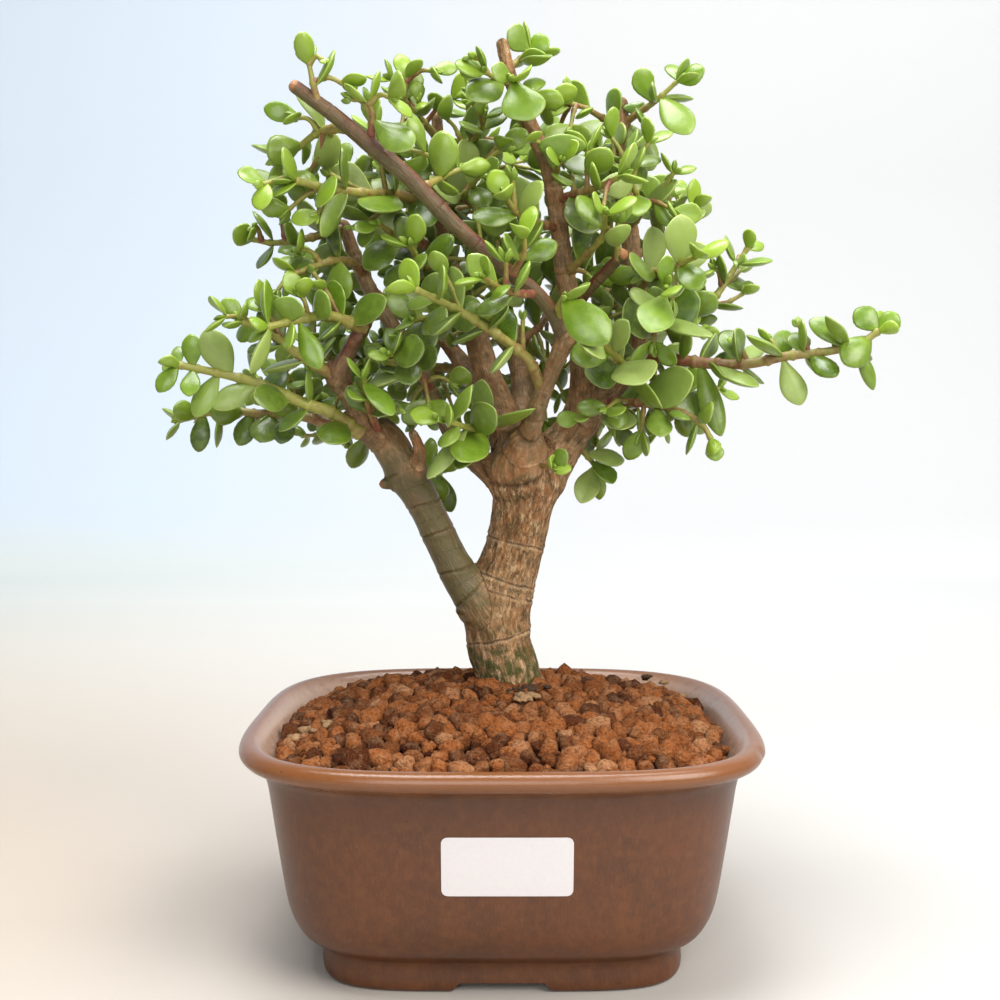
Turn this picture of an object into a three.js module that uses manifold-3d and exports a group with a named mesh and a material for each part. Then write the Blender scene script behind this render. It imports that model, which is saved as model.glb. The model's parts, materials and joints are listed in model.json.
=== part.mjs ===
// A dwarf jade bonsai in a glazed pot: pot, blank label, soil, the trunk with its branches,
// and one solid for each leafy shoot. Millimetres, +Z up.
import * as THREE from "three";
import { mergeVertices } from "three/addons/utils/BufferGeometryUtils.js";
import Module from "manifold-3d";

const wasm = await Module();
wasm.setup();

// The gap kept between pieces that touch.
const FIT_GAP = 0.3;
// Faces that differ by less than this are merged after pieces are joined.
const SLIVER = 0.05;
const FULL_TURN = Math.PI * 2;
// A stem whose direction has more than this share of height counts as upright.
const UPRIGHT = 0.85;

// Pot. Each ring is half the width, half the depth, the height, and how square the corner is.
const POT_SIDES = 36;
const POT_RINGS = [
  { width: 46.0, depth: 40.6, height: 3.5, square: 5.4 },
  { width: 47.2, depth: 41.8, height: 0.0, square: 5.4 },
  { width: 52.6, depth: 47.1, height: 0.0, square: 5.2 },
  { width: 53.8, depth: 48.3, height: 1.4, square: 5.2 },
  { width: 53.6, depth: 48.1, height: 8.0, square: 5.0 },
  { width: 55.4, depth: 49.8, height: 9.8, square: 4.8 },
  { width: 59.8, depth: 54.0, height: 13.0, square: 4.5 },
  { width: 64.0, depth: 58.0, height: 21.0, square: 4.1 },
  { width: 66.8, depth: 60.6, height: 34.0, square: 3.8 },
  { width: 69.2, depth: 62.8, height: 48.0, square: 3.7 },
  { width: 71.0, depth: 64.4, height: 60.5, square: 3.6 },
  { width: 72.6, depth: 65.9, height: 62.8, square: 3.6 },
  { width: 75.6, depth: 68.8, height: 63.4, square: 3.6 },
  { width: 78.0, depth: 71.2, height: 66.0, square: 3.6 },
  { width: 75.6, depth: 68.8, height: 69.0, square: 3.6 },
  { width: 72.2, depth: 65.4, height: 67.6, square: 3.6 },
  { width: 68.4, depth: 61.6, height: 62.0, square: 3.6 },
  { width: 65.8, depth: 59.2, height: 54.0, square: 3.7 },
  { width: 60.0, depth: 53.8, height: 24.0, square: 4.1 },
  { width: 48.0, depth: 42.2, height: 8.2, square: 4.8 },
];
// The rings of the wall's outside that a label can stick to, and those of its inside that hold the soil.
const OUTER_WALL_RINGS = [5, 10];
const INNER_WALL_RINGS = [16, 19];

const FOOT_NOTCH = { width_at_foot: 29, width_at_top: 24, height: 3 };
const DRAIN_HOLE = { radius: 6, from_middle: 24, height: 12, sides: 16 };

// Blank label on the front, and how far its middle is from the pot's.
const LABEL = {
  width: 35.6, height: 16.9, thickness: 0.5, side_shift: 1.4, middle_height: 40.5, columns: 8,
};

// Soil: its height at the wall and at the trunk, and the size of the clay granules it shows.
const SOIL = { edge_height: 62, mound: 15, granule_height: 3.2, rings: 11, wall_gap: 0.42 };
const SOIL_SEED = 5;

// Wood. Each line is a row of [x, y, z, radius], from where it grows to its end.
const WOOD_SIDES = { stout: 10, limb: 8, branch: 6 };
const WOOD = [
  {
    name: "trunk", sides: WOOD_SIDES.stout,
    line: [
      [3, 8, 60, 11.2], [2, 8, 78, 10.4], [-1, 8, 90, 9.9], [-1, 8, 100, 9.9], [1, 8, 110, 9.8],
      [4, 7, 120, 9.4], [6, 6, 130, 9.2], [7, 5, 137, 9.8], [7, 4, 142, 11.0], [7, 3, 148, 10.2],
      [7, 3, 153, 6.5],
    ],
  },
  {
    name: "left limb", sides: WOOD_SIDES.limb,
    line: [
      [-1, 7, 94, 7.6], [-8, 4, 104, 6.6], [-13, 3, 111, 5.8], [-18, 2, 121, 5.4], [-24, 0, 134, 5.3],
      [-30, -1, 145, 5.6], [-34, -2, 152, 5.3], [-37, -3, 158, 3.8],
    ],
  },
  {
    name: "left elbow", sides: WOOD_SIDES.branch,
    line: [
      [-35, -3, 154, 3.8], [-42, -6, 158, 3.1], [-46, -12, 168, 2.7], [-49, -14, 173, 2.9],
      [-51, -15, 176, 2.3],
    ],
  },
  {
    name: "twig above the elbow", sides: WOOD_SIDES.branch,
    line: [[-49, -15, 173, 2.3], [-46, -17, 180, 2.3], [-42, -18, 187, 2.2], [-40, -18, 190, 1.8]],
  },
  {
    name: "front branch", sides: WOOD_SIDES.branch,
    line: [
      [7, -3, 149, 4.6], [8, -8, 156, 3.6], [11, -14, 166, 2.9], [15, -19, 176, 2.5],
      [19, -24, 186, 2.3], [20, -24, 190, 1.6],
    ],
  },
  {
    name: "long diagonal branch", sides: WOOD_SIDES.branch,
    line: [
      [19, -23, 185, 2.0], [11, -30, 196, 2.2], [-1, -34, 205, 2.3], [-14, -38, 216, 2.4],
      [-25, -41, 227, 2.4], [-36, -43, 236, 2.4], [-46, -44, 244, 2.2], [-56, -45, 251, 1.9],
    ],
  },
  {
    name: "inner left branch", sides: WOOD_SIDES.branch,
    line: [
      [4, 8, 148, 6.0], [-1, 14, 165, 5.0], [-5, 17, 176, 4.5], [-9, 19, 190, 4.0], [-15, 20, 205, 3.4],
      [-19, 20, 220, 2.7], [-20, 20, 238, 2.3], [-21, 20, 258, 1.9],
    ],
  },
  {
    name: "branch from the knuckle", sides: WOOD_SIDES.branch,
    line: [
      [0, 2, 144, 4.8], [-7, 2, 147, 3.4], [-13, 0, 153, 2.8], [-19, -3, 163, 2.6], [-28, -5, 182, 2.5],
      [-35, -4, 192, 2.3], [-43, -2, 206, 2.3], [-49, 1, 221, 2.0],
    ],
  },
  {
    name: "right limb", sides: WOOD_SIDES.branch,
    line: [
      [12, 5, 142, 7.2], [20, 8, 154, 5.8], [27, 8, 164, 5.2], [36, 7, 171, 3.4], [43, 6, 183, 2.7],
      [43, 9, 200, 2.8], [41, 11, 216, 3.0], [39, 12, 232, 3.1], [38, 12, 248, 3.0], [37, 12, 260, 2.8],
    ],
  },
  {
    name: "leader", sides: WOOD_SIDES.branch,
    line: [
      [25, 7, 161, 4.4], [25, 3, 174, 3.8], [24, 0, 186, 3.4], [20, -4, 202, 3.1], [18, -6, 214, 2.9],
      [16, -9, 228, 2.8], [13, -12, 239, 2.7], [7, -16, 250, 2.4], [2, -19, 262, 2.0], [0, -20, 270, 1.8],
    ],
  },
  {
    name: "red cut branch", sides: WOOD_SIDES.branch,
    line: [[21, -3, 194, 1.7], [26, -12, 200, 1.8], [31, -18, 205, 1.8], [35, -24, 209, 1.7]],
  },
  {
    name: "cut stub on the left limb", sides: WOOD_SIDES.branch,
    line: [[-29, -1, 142, 1.7], [-33, -1, 141.5, 1.5], [-37, -2, 141, 1.3]],
  },
  {
    name: "dry stub on the left limb", sides: WOOD_SIDES.branch,
    line: [[-27, -3, 146, 2.0], [-25, -8, 151, 1.6], [-27, -11, 157, 1.2]],
  },
  {
    name: "rear left limb", sides: WOOD_SIDES.branch,
    line: [[0, 12, 160, 4.6], [-9, 28, 174, 3.6], [-20, 40, 189, 2.4]],
  },
  {
    name: "rear middle limb", sides: WOOD_SIDES.branch,
    line: [[8, 6, 147, 5.2], [7, 24, 168, 3.9], [4, 36, 192, 2.4]],
  },
  {
    name: "rear right limb", sides: WOOD_SIDES.branch,
    line: [[18, 8, 150, 4.6], [27, 25, 164, 3.8], [33, 37, 183, 2.4]],
  },
];

// Leafy shoots. Each line is a row of [x, y, z] from the wood to the tip; bare is the length with
// no leaves on it, leaf the length of a full leaf, and twigs the share of leaf pairs with a side twig.
const FRONT = [0, -1, 0.3];
const UP = [0, -0.35, 1];
const SIDE = [1, -0.3, 0.2];
const SHOOTS = [
  {
    name: "left_long", radius: 2.1, leaf: 10.5, bare: 12, twigs: 0.3,
    line: [
      [-43, -9, 157], [-51, -14, 163], [-59, -17, 166], [-70, -20, 171], [-80, -22, 174],
      [-94, -25, 177],
    ],
  },
  {
    name: "left_low", radius: 1.9, leaf: 10.5, bare: 14, twigs: 0.1,
    line: [[-43, -5, 157], [-57, -2, 161], [-68, 0, 163], [-77, 2, 163], [-87, 3, 164], [-102, 5, 161]],
  },
  {
    name: "left_middle", radius: 1.7, leaf: 11, bare: 7, twigs: 0.4,
    line: [[-50, -15, 174], [-58, -22, 179], [-63, -26, 183], [-69, -30, 187], [-74, -33, 189]],
  },
  {
    name: "left_upper", radius: 2.0, leaf: 11.5, bare: 5, twigs: 0.2,
    line: [[-41, -18, 188], [-46, -23, 190], [-51, -27, 191], [-56, -31, 190], [-66, -37, 187]],
  },
  {
    name: "left_rear", radius: 2.0, leaf: 11.5, bare: 14, twigs: 0.6,
    line: [[-34, 0, 150], [-46, 20, 156], [-58, 32, 160], [-71, 42, 166], [-84, 48, 170]],
  },
  {
    name: "left_inner", radius: 1.3, leaf: 11, bare: 9, twigs: 0,
    line: [[-37, -4, 156], [-39, -14, 162], [-40, -20, 167], [-40, -26, 173]],
  },
  {
    name: "left_center", radius: 1.4, leaf: 11.5, bare: 6, twigs: 0.4,
    line: [[-22, -4, 170], [-25, -14, 175], [-28, -22, 178], [-32, -30, 180]],
  },
  {
    name: "upper_left_1", radius: 2.0, leaf: 13, bare: 12, twigs: 0.3,
    line: [[-20, 20, 229], [-31, -5, 229], [-40, -20, 227], [-51, -30, 227], [-58, -35, 228]],
  },
  {
    name: "upper_left_2", radius: 1.5, leaf: 11, bare: 5, twigs: 0.5,
    line: [[-49, 1, 220], [-55, -6, 217], [-62, -9, 215], [-69, -11, 214], [-75, -12, 215]],
  },
  {
    name: "upper_left_3", radius: 1.5, leaf: 12, bare: 6, twigs: 0.5,
    line: [[-43, -3, 206], [-45, -12, 208], [-49, -18, 208], [-54, -22, 206], [-60, -26, 203]],
  },
  {
    name: "left_shoulder", radius: 1.5, leaf: 13.5, bare: 5, twigs: 0.4,
    line: [[-41, -43, 240], [-47, -36, 242], [-52, -31, 242], [-58, -27, 239], [-64, -25, 236]],
  },
  {
    name: "diagonal_end", radius: 1.1, leaf: 11, bare: 3, twigs: 0,
    line: [[-50, -45, 247], [-51, -47, 252], [-52, -47, 257]],
  },
  {
    name: "diagonal_top", radius: 1.2, leaf: 11.5, bare: 2.5, twigs: 0,
    line: [[-36, -43, 238], [-35, -46, 243], [-36, -47, 247]],
  },
  {
    name: "diagonal_upper", radius: 1.2, leaf: 13, bare: 3, twigs: 0,
    line: [[-22, -40, 225], [-17, -34, 229], [-12, -30, 232]],
  },
  {
    name: "diagonal_middle", radius: 1.2, leaf: 12, bare: 3.5, twigs: 0,
    line: [[3, -36, 202], [6, -41, 207], [6, -44, 211]],
  },
  {
    name: "diagonal_base", radius: 1.2, leaf: 12, bare: 4, twigs: 0,
    line: [[17, -26, 190], [16, -32, 193], [17, -37, 195]],
  },
  {
    name: "top_left", radius: 1.4, leaf: 11, bare: 5, twigs: 0.6,
    line: [[-21, 20, 252], [-26, 10, 256], [-30, 4, 260], [-29, 1, 266]],
  },
  {
    name: "top_center_left", radius: 1.4, leaf: 11.5, bare: 6, twigs: 0.6,
    line: [[-20, 20, 245], [-12, 8, 247], [-7, -2, 248], [-5, -10, 252]],
  },
  {
    name: "inner_left_1", radius: 1.4, leaf: 13, bare: 6, twigs: 0.6,
    line: [[-19, 20, 226], [-15, 8, 229], [-10, -4, 231], [-7, -14, 233]],
  },
  {
    name: "inner_left_2", radius: 1.5, leaf: 13, bare: 6, twigs: 0.5,
    line: [[-19, 20, 216], [-26, 6, 216], [-31, -8, 216], [-36, -22, 218]],
  },
  {
    name: "inner_left_3", radius: 1.5, leaf: 13, bare: 6, twigs: 0.5,
    line: [[-16, 20, 207], [-23, 6, 208], [-25, -10, 209], [-27, -22, 212]],
  },
  {
    name: "inner_left_4", radius: 1.5, leaf: 13, bare: 7, twigs: 0.5,
    line: [[-12, 19, 197], [-18, 2, 195], [-21, -12, 192], [-26, -25, 190]],
  },
  {
    name: "center_yellow", radius: 1.8, leaf: 12, bare: 12, twigs: 0.4,
    line: [[12, -15, 169], [8, -24, 178], [-1, -31, 185], [-11, -37, 191], [-24, -44, 197]],
  },
  {
    name: "center_front", radius: 1.3, leaf: 11.5, bare: 5, twigs: 0.3,
    line: [[9, -31, 197], [5, -40, 196], [-1, -48, 197], [-5, -54, 199]],
  },
  {
    name: "leader_left", radius: 1.4, leaf: 13.5, bare: 5, twigs: 0.6,
    line: [[17, -7, 219], [11, -16, 219], [5, -24, 220], [1, -31, 224]],
  },
  {
    name: "leader_right_1", radius: 1.4, leaf: 14, bare: 5, twigs: 0.3,
    line: [[16, -9, 227], [22, -14, 228], [28, -19, 229], [34, -24, 231]],
  },
  {
    name: "leader_right_2", radius: 1.4, leaf: 13, bare: 6, twigs: 0.4,
    line: [[19, -5, 205], [25, -14, 210], [29, -24, 214], [29, -34, 219]],
  },
  {
    name: "leader_front", radius: 1.2, leaf: 11, bare: 4, twigs: 0,
    line: [[15, -10, 232], [16, -16, 234], [17, -22, 236]],
  },
  {
    name: "top_left_leader", radius: 1.2, leaf: 13, bare: 2.5, twigs: 0,
    line: [[3, -18, 259], [-1, -22, 259], [-5, -27, 260]],
  },
  {
    name: "top_right_leader", radius: 1.2, leaf: 12, bare: 2.5, twigs: 0.3,
    line: [[2, -19, 263], [6, -16, 267], [9, -13, 270]],
  },
  {
    name: "top_front", radius: 1.3, leaf: 11.5, bare: 4, twigs: 0,
    line: [[4, -18, 255], [5, -24, 256], [3, -30, 257]],
  },
  {
    name: "right_top", radius: 1.3, leaf: 12, bare: 4, twigs: 0,
    line: [[38, 12, 254], [43, 8, 257], [48, 5, 260], [54, 2, 265]],
  },
  {
    name: "right_top_left", radius: 1.3, leaf: 11.5, bare: 4, twigs: 0.3,
    line: [[38, 12, 253], [31, 6, 255], [26, 3, 257], [21, 1, 258]],
  },
  {
    name: "right_upper", radius: 1.4, leaf: 13, bare: 4, twigs: 0.6,
    line: [[40, 12, 222], [43, 2, 225], [41, -5, 229], [38, -10, 235]],
  },
  {
    name: "right_stub_sprig", radius: 1.2, leaf: 12, bare: 2.5, twigs: 0,
    line: [[34, -23, 208], [33, -27, 212], [33, -30, 217]],
  },
  {
    name: "right_middle_1", radius: 1.5, leaf: 13.5, bare: 5, twigs: 0.5,
    line: [[43, 9, 202], [47, -4, 205], [50, -16, 206], [56, -27, 208]],
  },
  {
    name: "right_middle_2", radius: 1.5, leaf: 12, bare: 5, twigs: 0.6,
    line: [[41, 11, 213], [50, 12, 216], [56, 10, 221], [60, 6, 227]],
  },
  {
    name: "far_right", radius: 1.7, leaf: 11, bare: 8, twigs: 0.5,
    line: [[43, 7, 189], [56, 14, 192], [65, 18, 196], [71, 20, 203], [80, 20, 217]],
  },
  {
    name: "right_long", radius: 2.1, leaf: 11, bare: 12, twigs: 0,
    line: [
      [42, 5, 181], [50, -2, 180], [65, -8, 178], [75, -12, 178], [85, -16, 180],
      [95, -19, 181], [104, -22, 183], [110, -23, 187],
    ],
  },
  {
    name: "right_low", radius: 1.6, leaf: 12, bare: 6, twigs: 0.3,
    line: [[30, 7, 167], [44, -3, 166], [53, -8, 164], [60, -12, 160], [63, -14, 155]],
  },
  {
    name: "right_front_1", radius: 1.6, leaf: 13.5, bare: 5, twigs: 0.3,
    line: [[37, 7, 173], [37, -9, 177], [33, -21, 180], [28, -30, 184]],
  },
  {
    name: "right_front_2", radius: 1.6, leaf: 14.5, bare: 5, twigs: 0.4,
    line: [[43, 8, 194], [47, -7, 193], [47, -19, 194], [47, -30, 199]],
  },
  {
    name: "below_fork", radius: 1.4, leaf: 14.5, bare: 5, twigs: 0,
    line: [[22, 9, 155], [28, 14, 149], [31, 19, 145]],
  },
  {
    name: "trunk_top", radius: 1.0, leaf: 10, bare: 9, twigs: 0,
    line: [[11, -4, 147], [13, -11, 147], [15, -15, 147]],
  },
  {
    name: "front_left", radius: 1.5, leaf: 13, bare: 12, twigs: 0.2,
    line: [[-2, 12, 160], [-6, -8, 158], [-11, -19, 159], [-17, -29, 161]],
  },
  {
    name: "left_limb_side", radius: 1.2, leaf: 12, bare: 8, twigs: 0,
    line: [[-27, 0, 141], [-25, 10, 143], [-20, 19, 144]],
  },
  {
    name: "rear_left_low", radius: 1.7, leaf: 12, bare: 7, twigs: 0.6,
    line: [[-12, 31, 178], [-30, 48, 180], [-48, 55, 183], [-66, 53, 182]],
  },
  {
    name: "rear_left_top", radius: 1.6, leaf: 12, bare: 7, twigs: 0.6,
    line: [[-19, 39, 187], [-27, 47, 205], [-33, 50, 222], [-38, 44, 240]],
  },
  {
    name: "rear_left_end", radius: 1.6, leaf: 12, bare: 8, twigs: 0.6,
    line: [[-15, 34, 182], [-28, 35, 194], [-48, 34, 207], [-66, 26, 214]],
  },
  {
    name: "rear_middle_low", radius: 1.6, leaf: 12.5, bare: 5, twigs: 0.5,
    line: [[6, 26, 171], [4, 44, 176], [0, 59, 173], [-2, 66, 164]],
  },
  {
    name: "rear_middle", radius: 1.5, leaf: 12, bare: 8, twigs: 0.6,
    line: [[5, 31, 181], [-4, 47, 192], [-10, 60, 202], [-16, 66, 212]],
  },
  {
    name: "rear_middle_right", radius: 1.6, leaf: 12, bare: 8, twigs: 0.6,
    line: [[5, 33, 186], [15, 46, 196], [20, 56, 214], [21, 57, 232]],
  },
  {
    name: "rear_top", radius: 1.7, leaf: 12, bare: 10, twigs: 0.6,
    line: [[4, 35, 189], [0, 41, 212], [-4, 42, 234], [-8, 34, 258]],
  },
  {
    name: "rear_right_low", radius: 1.7, leaf: 12, bare: 6, twigs: 0.6,
    line: [[27, 25, 164], [44, 36, 168], [60, 42, 168], [75, 42, 172]],
  },
  {
    name: "rear_right", radius: 1.6, leaf: 12, bare: 8, twigs: 0.6,
    line: [[31, 32, 176], [46, 44, 184], [58, 48, 198], [66, 42, 210]],
  },
  {
    name: "rear_right_top", radius: 1.7, leaf: 12, bare: 10, twigs: 0.6,
    line: [[33, 36, 181], [36, 44, 205], [37, 42, 226], [36, 32, 247]],
  },
];

// The large leaves that stand out: the shoot, the share of its length where the leaf grows,
// the leaf's tip, its width, and the way its face looks.
const LARGE_LEAVES = [
  ["right_long", 0.29, [66, -12, 156], 7.5, FRONT],
  ["right_long", 0.33, [75, -22, 170], 8, UP],
  ["right_long", 0.29, [66, 2, 187], 6, SIDE],
  ["right_long", 0.46, [68, -4, 187], 7.5, FRONT],
  ["right_long", 0.46, [81, 4, 184], 7, UP],
  ["right_long", 0.62, [72, -24, 186], 9, UP],
  ["right_long", 0.62, [88, -18, 165], 8, FRONT],
  ["right_long", 0.7, [88, -14, 187], 8, UP],
  ["right_long", 0.73, [96, -26, 174], 9, FRONT],
  ["right_long", 0.88, [92, -18, 190], 7, FRONT],
  ["right_long", 0.88, [93, -28, 189], 9, UP],
  ["right_long", 0.96, [99, -28, 178], 10, FRONT],
  ["right_long", 0.9, [109, -22, 171], 4.5, FRONT],
  ["right_long", 1, [104, -22, 193], 9, FRONT],
  ["right_long", 1, [115, -24, 191], 8.5, FRONT],
  ["right_top", 0.55, [42, 2, 268], 8.5, FRONT],
  ["right_top", 0.7, [57, -4, 247], 10, FRONT],
  ["right_top", 0.6, [45, -6, 261], 7, SIDE],
  ["right_top", 1, [61, -2, 267], 7.5, FRONT],
  ["right_top", 1, [53, 8, 272], 7, UP],
  ["right_top", 0.05, [47, 8, 239], 11, FRONT],
  ["right_top", 0.25, [41, 10, 260], 8, FRONT],
  ["left_long", 1, [-99, -28, 170], 6, FRONT],
  ["left_long", 1, [-95, -22, 182], 4.5, FRONT],
  ["left_long", 0.93, [-90, -26, 185], 7, FRONT],
  ["left_long", 0.93, [-90, -28, 168], 6.5, FRONT],
  ["left_long", 0.74, [-85, -26, 186], 10, FRONT],
  ["left_long", 0.8, [-89, -24, 163], 8, FRONT],
  ["left_long", 0.6, [-84, -26, 165], 7.5, FRONT],
  ["left_long", 0.42, [-71, -28, 167], 9.5, FRONT],
  ["left_long", 0.12, [-51, -24, 155], 12, FRONT],
  ["left_low", 0.86, [-95, 2, 152], 7, FRONT],
  ["left_low", 0.6, [-82, 0, 154], 8, FRONT],
  ["left_low", 0.5, [-74, -6, 155], 10, FRONT],
  ["left_low", 0.4, [-68, -4, 154], 9, FRONT],
  ["left_upper", 0.8, [-59, -38, 195], 11, FRONT],
  ["left_upper", 0.7, [-52, -34, 175], 6.5, FRONT],
  ["left_upper", 0.96, [-69, -40, 175], 6, SIDE],
  ["left_upper", 0.98, [-67, -38, 199], 6, SIDE],
  ["left_upper", 0.16, [-33, -29, 196], 8.5, FRONT],
  ["left_inner", 0.95, [-31, -34, 162], 7, UP],
  ["diagonal_base", 1, [29, -42, 182], 12, FRONT],
  ["diagonal_base", 0.8, [24, -40, 198], 9, UP],
  ["diagonal_top", 0.5, [-24, -52, 232], 9, FRONT],
  ["top_front", 1, [7, -34, 245], 13.5, FRONT],
  ["leader_front", 1, [17, -26, 242], 14.5, FRONT],
  ["top_left_leader", 0.9, [-11, -26, 263], 11, FRONT],
  ["top_left_leader", 0.3, [-9, -32, 252], 10, FRONT],
  ["top_right_leader", 0.9, [13, -14, 273], 8, FRONT],
  ["top_right_leader", 0.4, [13, -26, 263], 9, UP],
  ["top_right_leader", 0.95, [2, -18, 274], 9, FRONT],
  ["right_front_1", 0.95, [23, -40, 180], 12, FRONT],
  ["right_front_1", 0.55, [41, -34, 171], 14, FRONT],
  ["right_front_1", 0.25, [48, -20, 165], 8, SIDE],
  ["right_front_2", 0.35, [60, -28, 185], 9.5, UP],
  ["right_front_2", 0.9, [40, -42, 184], 11, FRONT],
  ["right_low", 0.3, [58, -16, 173], 12.5, FRONT],
  ["right_low", 0.15, [36, -10, 157], 11, FRONT],
  ["right_low", 0.5, [47, -16, 156], 9, FRONT],
  ["right_low", 1, [64, -16, 149], 6.5, FRONT],
  ["front_left", 0.25, [9, -26, 164], 11, UP],
  ["front_left", 0.45, [-12, -30, 150], 12, FRONT],
  ["front_left", 0.35, [-13, -18, 146], 9, UP],
  ["front_left", 0.7, [-22, -26, 144], 7, UP],
  ["front_left", 0.9, [-9, -34, 171], 7, SIDE],
  ["below_fork", 0.9, [26, 10, 135], 10, FRONT],
  ["below_fork", 0.7, [35, 8, 141], 8, UP],
  ["trunk_top", 0.9, [19, -18, 151], 7, FRONT],
  ["left_limb_side", 0.9, [-17, 20, 132], 8, FRONT],
  ["upper_left_1", 1, [-64, -38, 227], 8, UP],
  ["upper_left_1", 0.45, [-37, -34, 219], 13, FRONT],
  ["upper_left_1", 0.75, [-51, -34, 213], 8, SIDE],
  ["left_center", 0.95, [-23, -36, 181], 11, FRONT],
  ["left_center", 0.5, [-39, -24, 171], 8, UP],
  ["right_middle_1", 0.4, [36, -26, 206], 10, FRONT],
];

// The shape of a leaf. The outline is half of it, as shares of its length and width, root to tip;
// the crown is its highest point, and the share below is how much of its thickness is under its rim.
const LEAF = {
  outline: [[0.42, 0.45], [0.82, 0.45]],
  crown_at: 0.5,
  share_below: 0.4,
  thickness_share: 0.19,
  thickness_range: [1.5, 2.6],
  width_share: [0.72, 0.92],
  length_share: [0.88, 1.14],
  root_depth: 0.3,
  least_length: 5,
};
// Points spread over a leaf, as shares of its length and width, that feel for other pieces.
const LEAF_FEELERS = [
  [0.25, 0], [0.5, 0], [0.75, 0], [1, 0], [0.45, 0.44], [0.45, -0.44], [0.82, 0.44],
  [0.82, -0.44], [0.62, 0.24], [0.62, -0.24], [0.98, 0.22], [0.98, -0.22],
];
// How leaf pairs sit on a stem: their spacing in leaf lengths and their size both grow from the
// tip, each pair is turned by a quarter, and every leaf sways, lifts and rolls a little.
const PAIR = {
  tip_gap: 0.8,
  spacing: { at_tip: 0.55, step: 0.12, most: 0.85 },
  size: { at_tip: 0.68, step: 0.18, most: 1 },
  sway: 0.25,
  lift: [0.25, 0.7],
  tip_lift: 0.35,
  roll: 0.5,
  rise: 0.12,
  light_pull: 0.4,
};
const STEM = { sides: 4, tip_share: 0.5, steps: 4 };
// Side twigs start after the first pairs from the tip. They grow out of a leaf pair's place,
// then bend towards the stem's own direction, and both halves rise.
const TWIG = {
  sides: 3,
  radius: 0.9,
  tip_radius: 0.6,
  first_pair: 2,
  share_kept: 0.8,
  length_share: [0.9, 1.6],
  outward: 0.8,
  forward: 0.55,
  rise: 0.2,
  end_outward: 0.5,
  end_forward: 0.25,
  end_rise: 0.12,
  bare_share: 0.45,
  leaf_share: 0.85,
  turn: 0.8,
};
// The room that a leaf or a twig keeps from the next shoot, from leaves of its own shoot and from
// the wood, and the share of a leaf's thickness that its feelers add.
const CLEAR = { other: 0.7, own: 0.2, wood: 0.6, leaf_share: 0.35 };
const BALL_STEP = 1.6;
const WOOD_FEEL_STEPS = 3;
// Leaves further apart than half their lengths and this reach can't touch, and roots closer than
// this on one shoot are the same root.
const LEAF_REACH = 2;
const SAME_ROOT = 1;
// What a leaf tries when its place is taken: turn about itself, lift, turn round the stem, size.
const TRIES = [
  [0, 0, 0, 1], [0.45, 0, 0, 1], [-0.45, 0, 0, 1], [0, 0.35, 0, 1], [0, -0.35, 0, 0.95],
  [0, 0, 0.6, 0.9], [0, 0, -0.6, 0.9], [0.8, 0.2, 0, 0.85], [-0.8, 0.2, 0, 0.85], [0, 0.2, 0, 0.7],
];
const LIGHT = new THREE.Vector3(0, -0.25, 1);
const PLANT_SEED = 11;
const MOST_LEAVES = 470;

// One seeded stream of numbers between 0 and 1.
function seededRandom(seed) {
  let state = seed >>> 0;
  return () => {
    state = (state + 0x6d2b79f5) >>> 0;
    let mixed = Math.imul(state ^ (state >>> 15), state | 1);
    mixed ^= mixed + Math.imul(mixed ^ (mixed >>> 7), mixed | 61);
    return ((mixed ^ (mixed >>> 14)) >>> 0) / 4294967296;
  };
}

function mix(low, high, share) {
  return low + (high - low) * share;
}

function vector([x, y, z]) {
  return new THREE.Vector3(x, y, z);
}

// A direction with its part along another direction taken out.
function squaredTo(direction, axis) {
  return direction.clone().addScaledVector(axis, -direction.dot(axis)).normalize();
}

// A smooth line through points, with so many steps from each point to the next.
function smoothLine(points, steps) {
  const curve = new THREE.CatmullRomCurve3(points, false, "catmullrom", 0.5);
  return curve.getPoints((points.length - 1) * steps);
}

function lineLength(line) {
  let total = 0;
  for (let i = 1; i < line.length; i++) total += line[i].distanceTo(line[i - 1]);
  return total;
}

// The point and direction at a distance along a line.
function along(line, distance) {
  let left = distance;
  for (let i = 1; i < line.length; i++) {
    const step = line[i].distanceTo(line[i - 1]);
    if (left <= step || i === line.length - 1) {
      const direction = line[i].clone().sub(line[i - 1]).normalize();
      const point = line[i - 1].clone().addScaledVector(direction, Math.min(left, step));
      return { point, direction };
    }
    left -= step;
  }
  return null;
}

// Balls strung along a tapering line, which stand for it when room is felt for.
function ballsAlong(line, startRadius, endRadius, owner) {
  const total = lineLength(line);
  const count = Math.max(2, Math.ceil(total / BALL_STEP));
  const balls = [];
  for (let i = 0; i <= count; i++) {
    const share = i / count;
    const { point } = along(line, total * share);
    balls.push({ point, radius: mix(startRadius, endRadius, share), owner });
  }
  return balls;
}

function woodBalls() {
  const balls = [];
  for (const limb of WOOD) {
    const line = smoothLine(limb.line.map(vector), WOOD_FEEL_STEPS);
    const radii = smoothRadii(limb.line, WOOD_FEEL_STEPS);
    for (let i = 1; i < line.length; i++) {
      balls.push(...ballsAlong([line[i - 1], line[i]], radii[i - 1], radii[i], "wood"));
    }
  }
  return balls;
}

function smoothRadii(rows, steps) {
  const radii = [];
  for (let i = 0; i < rows.length - 1; i++) {
    for (let step = 0; step < steps; step++) radii.push(mix(rows[i][3], rows[i + 1][3], step / steps));
  }
  radii.push(rows[rows.length - 1][3]);
  return radii;
}

// Two directions square to a stem, from which the leaf pairs are turned.
function stemSides(direction) {
  const upright = Math.abs(direction.z) > UPRIGHT;
  const reference = upright ? new THREE.Vector3(0, 1, 0) : new THREE.Vector3(0, 0, 1);
  const side = new THREE.Vector3().crossVectors(direction, reference).normalize();
  return { side, other: new THREE.Vector3().crossVectors(side, direction) };
}

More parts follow.
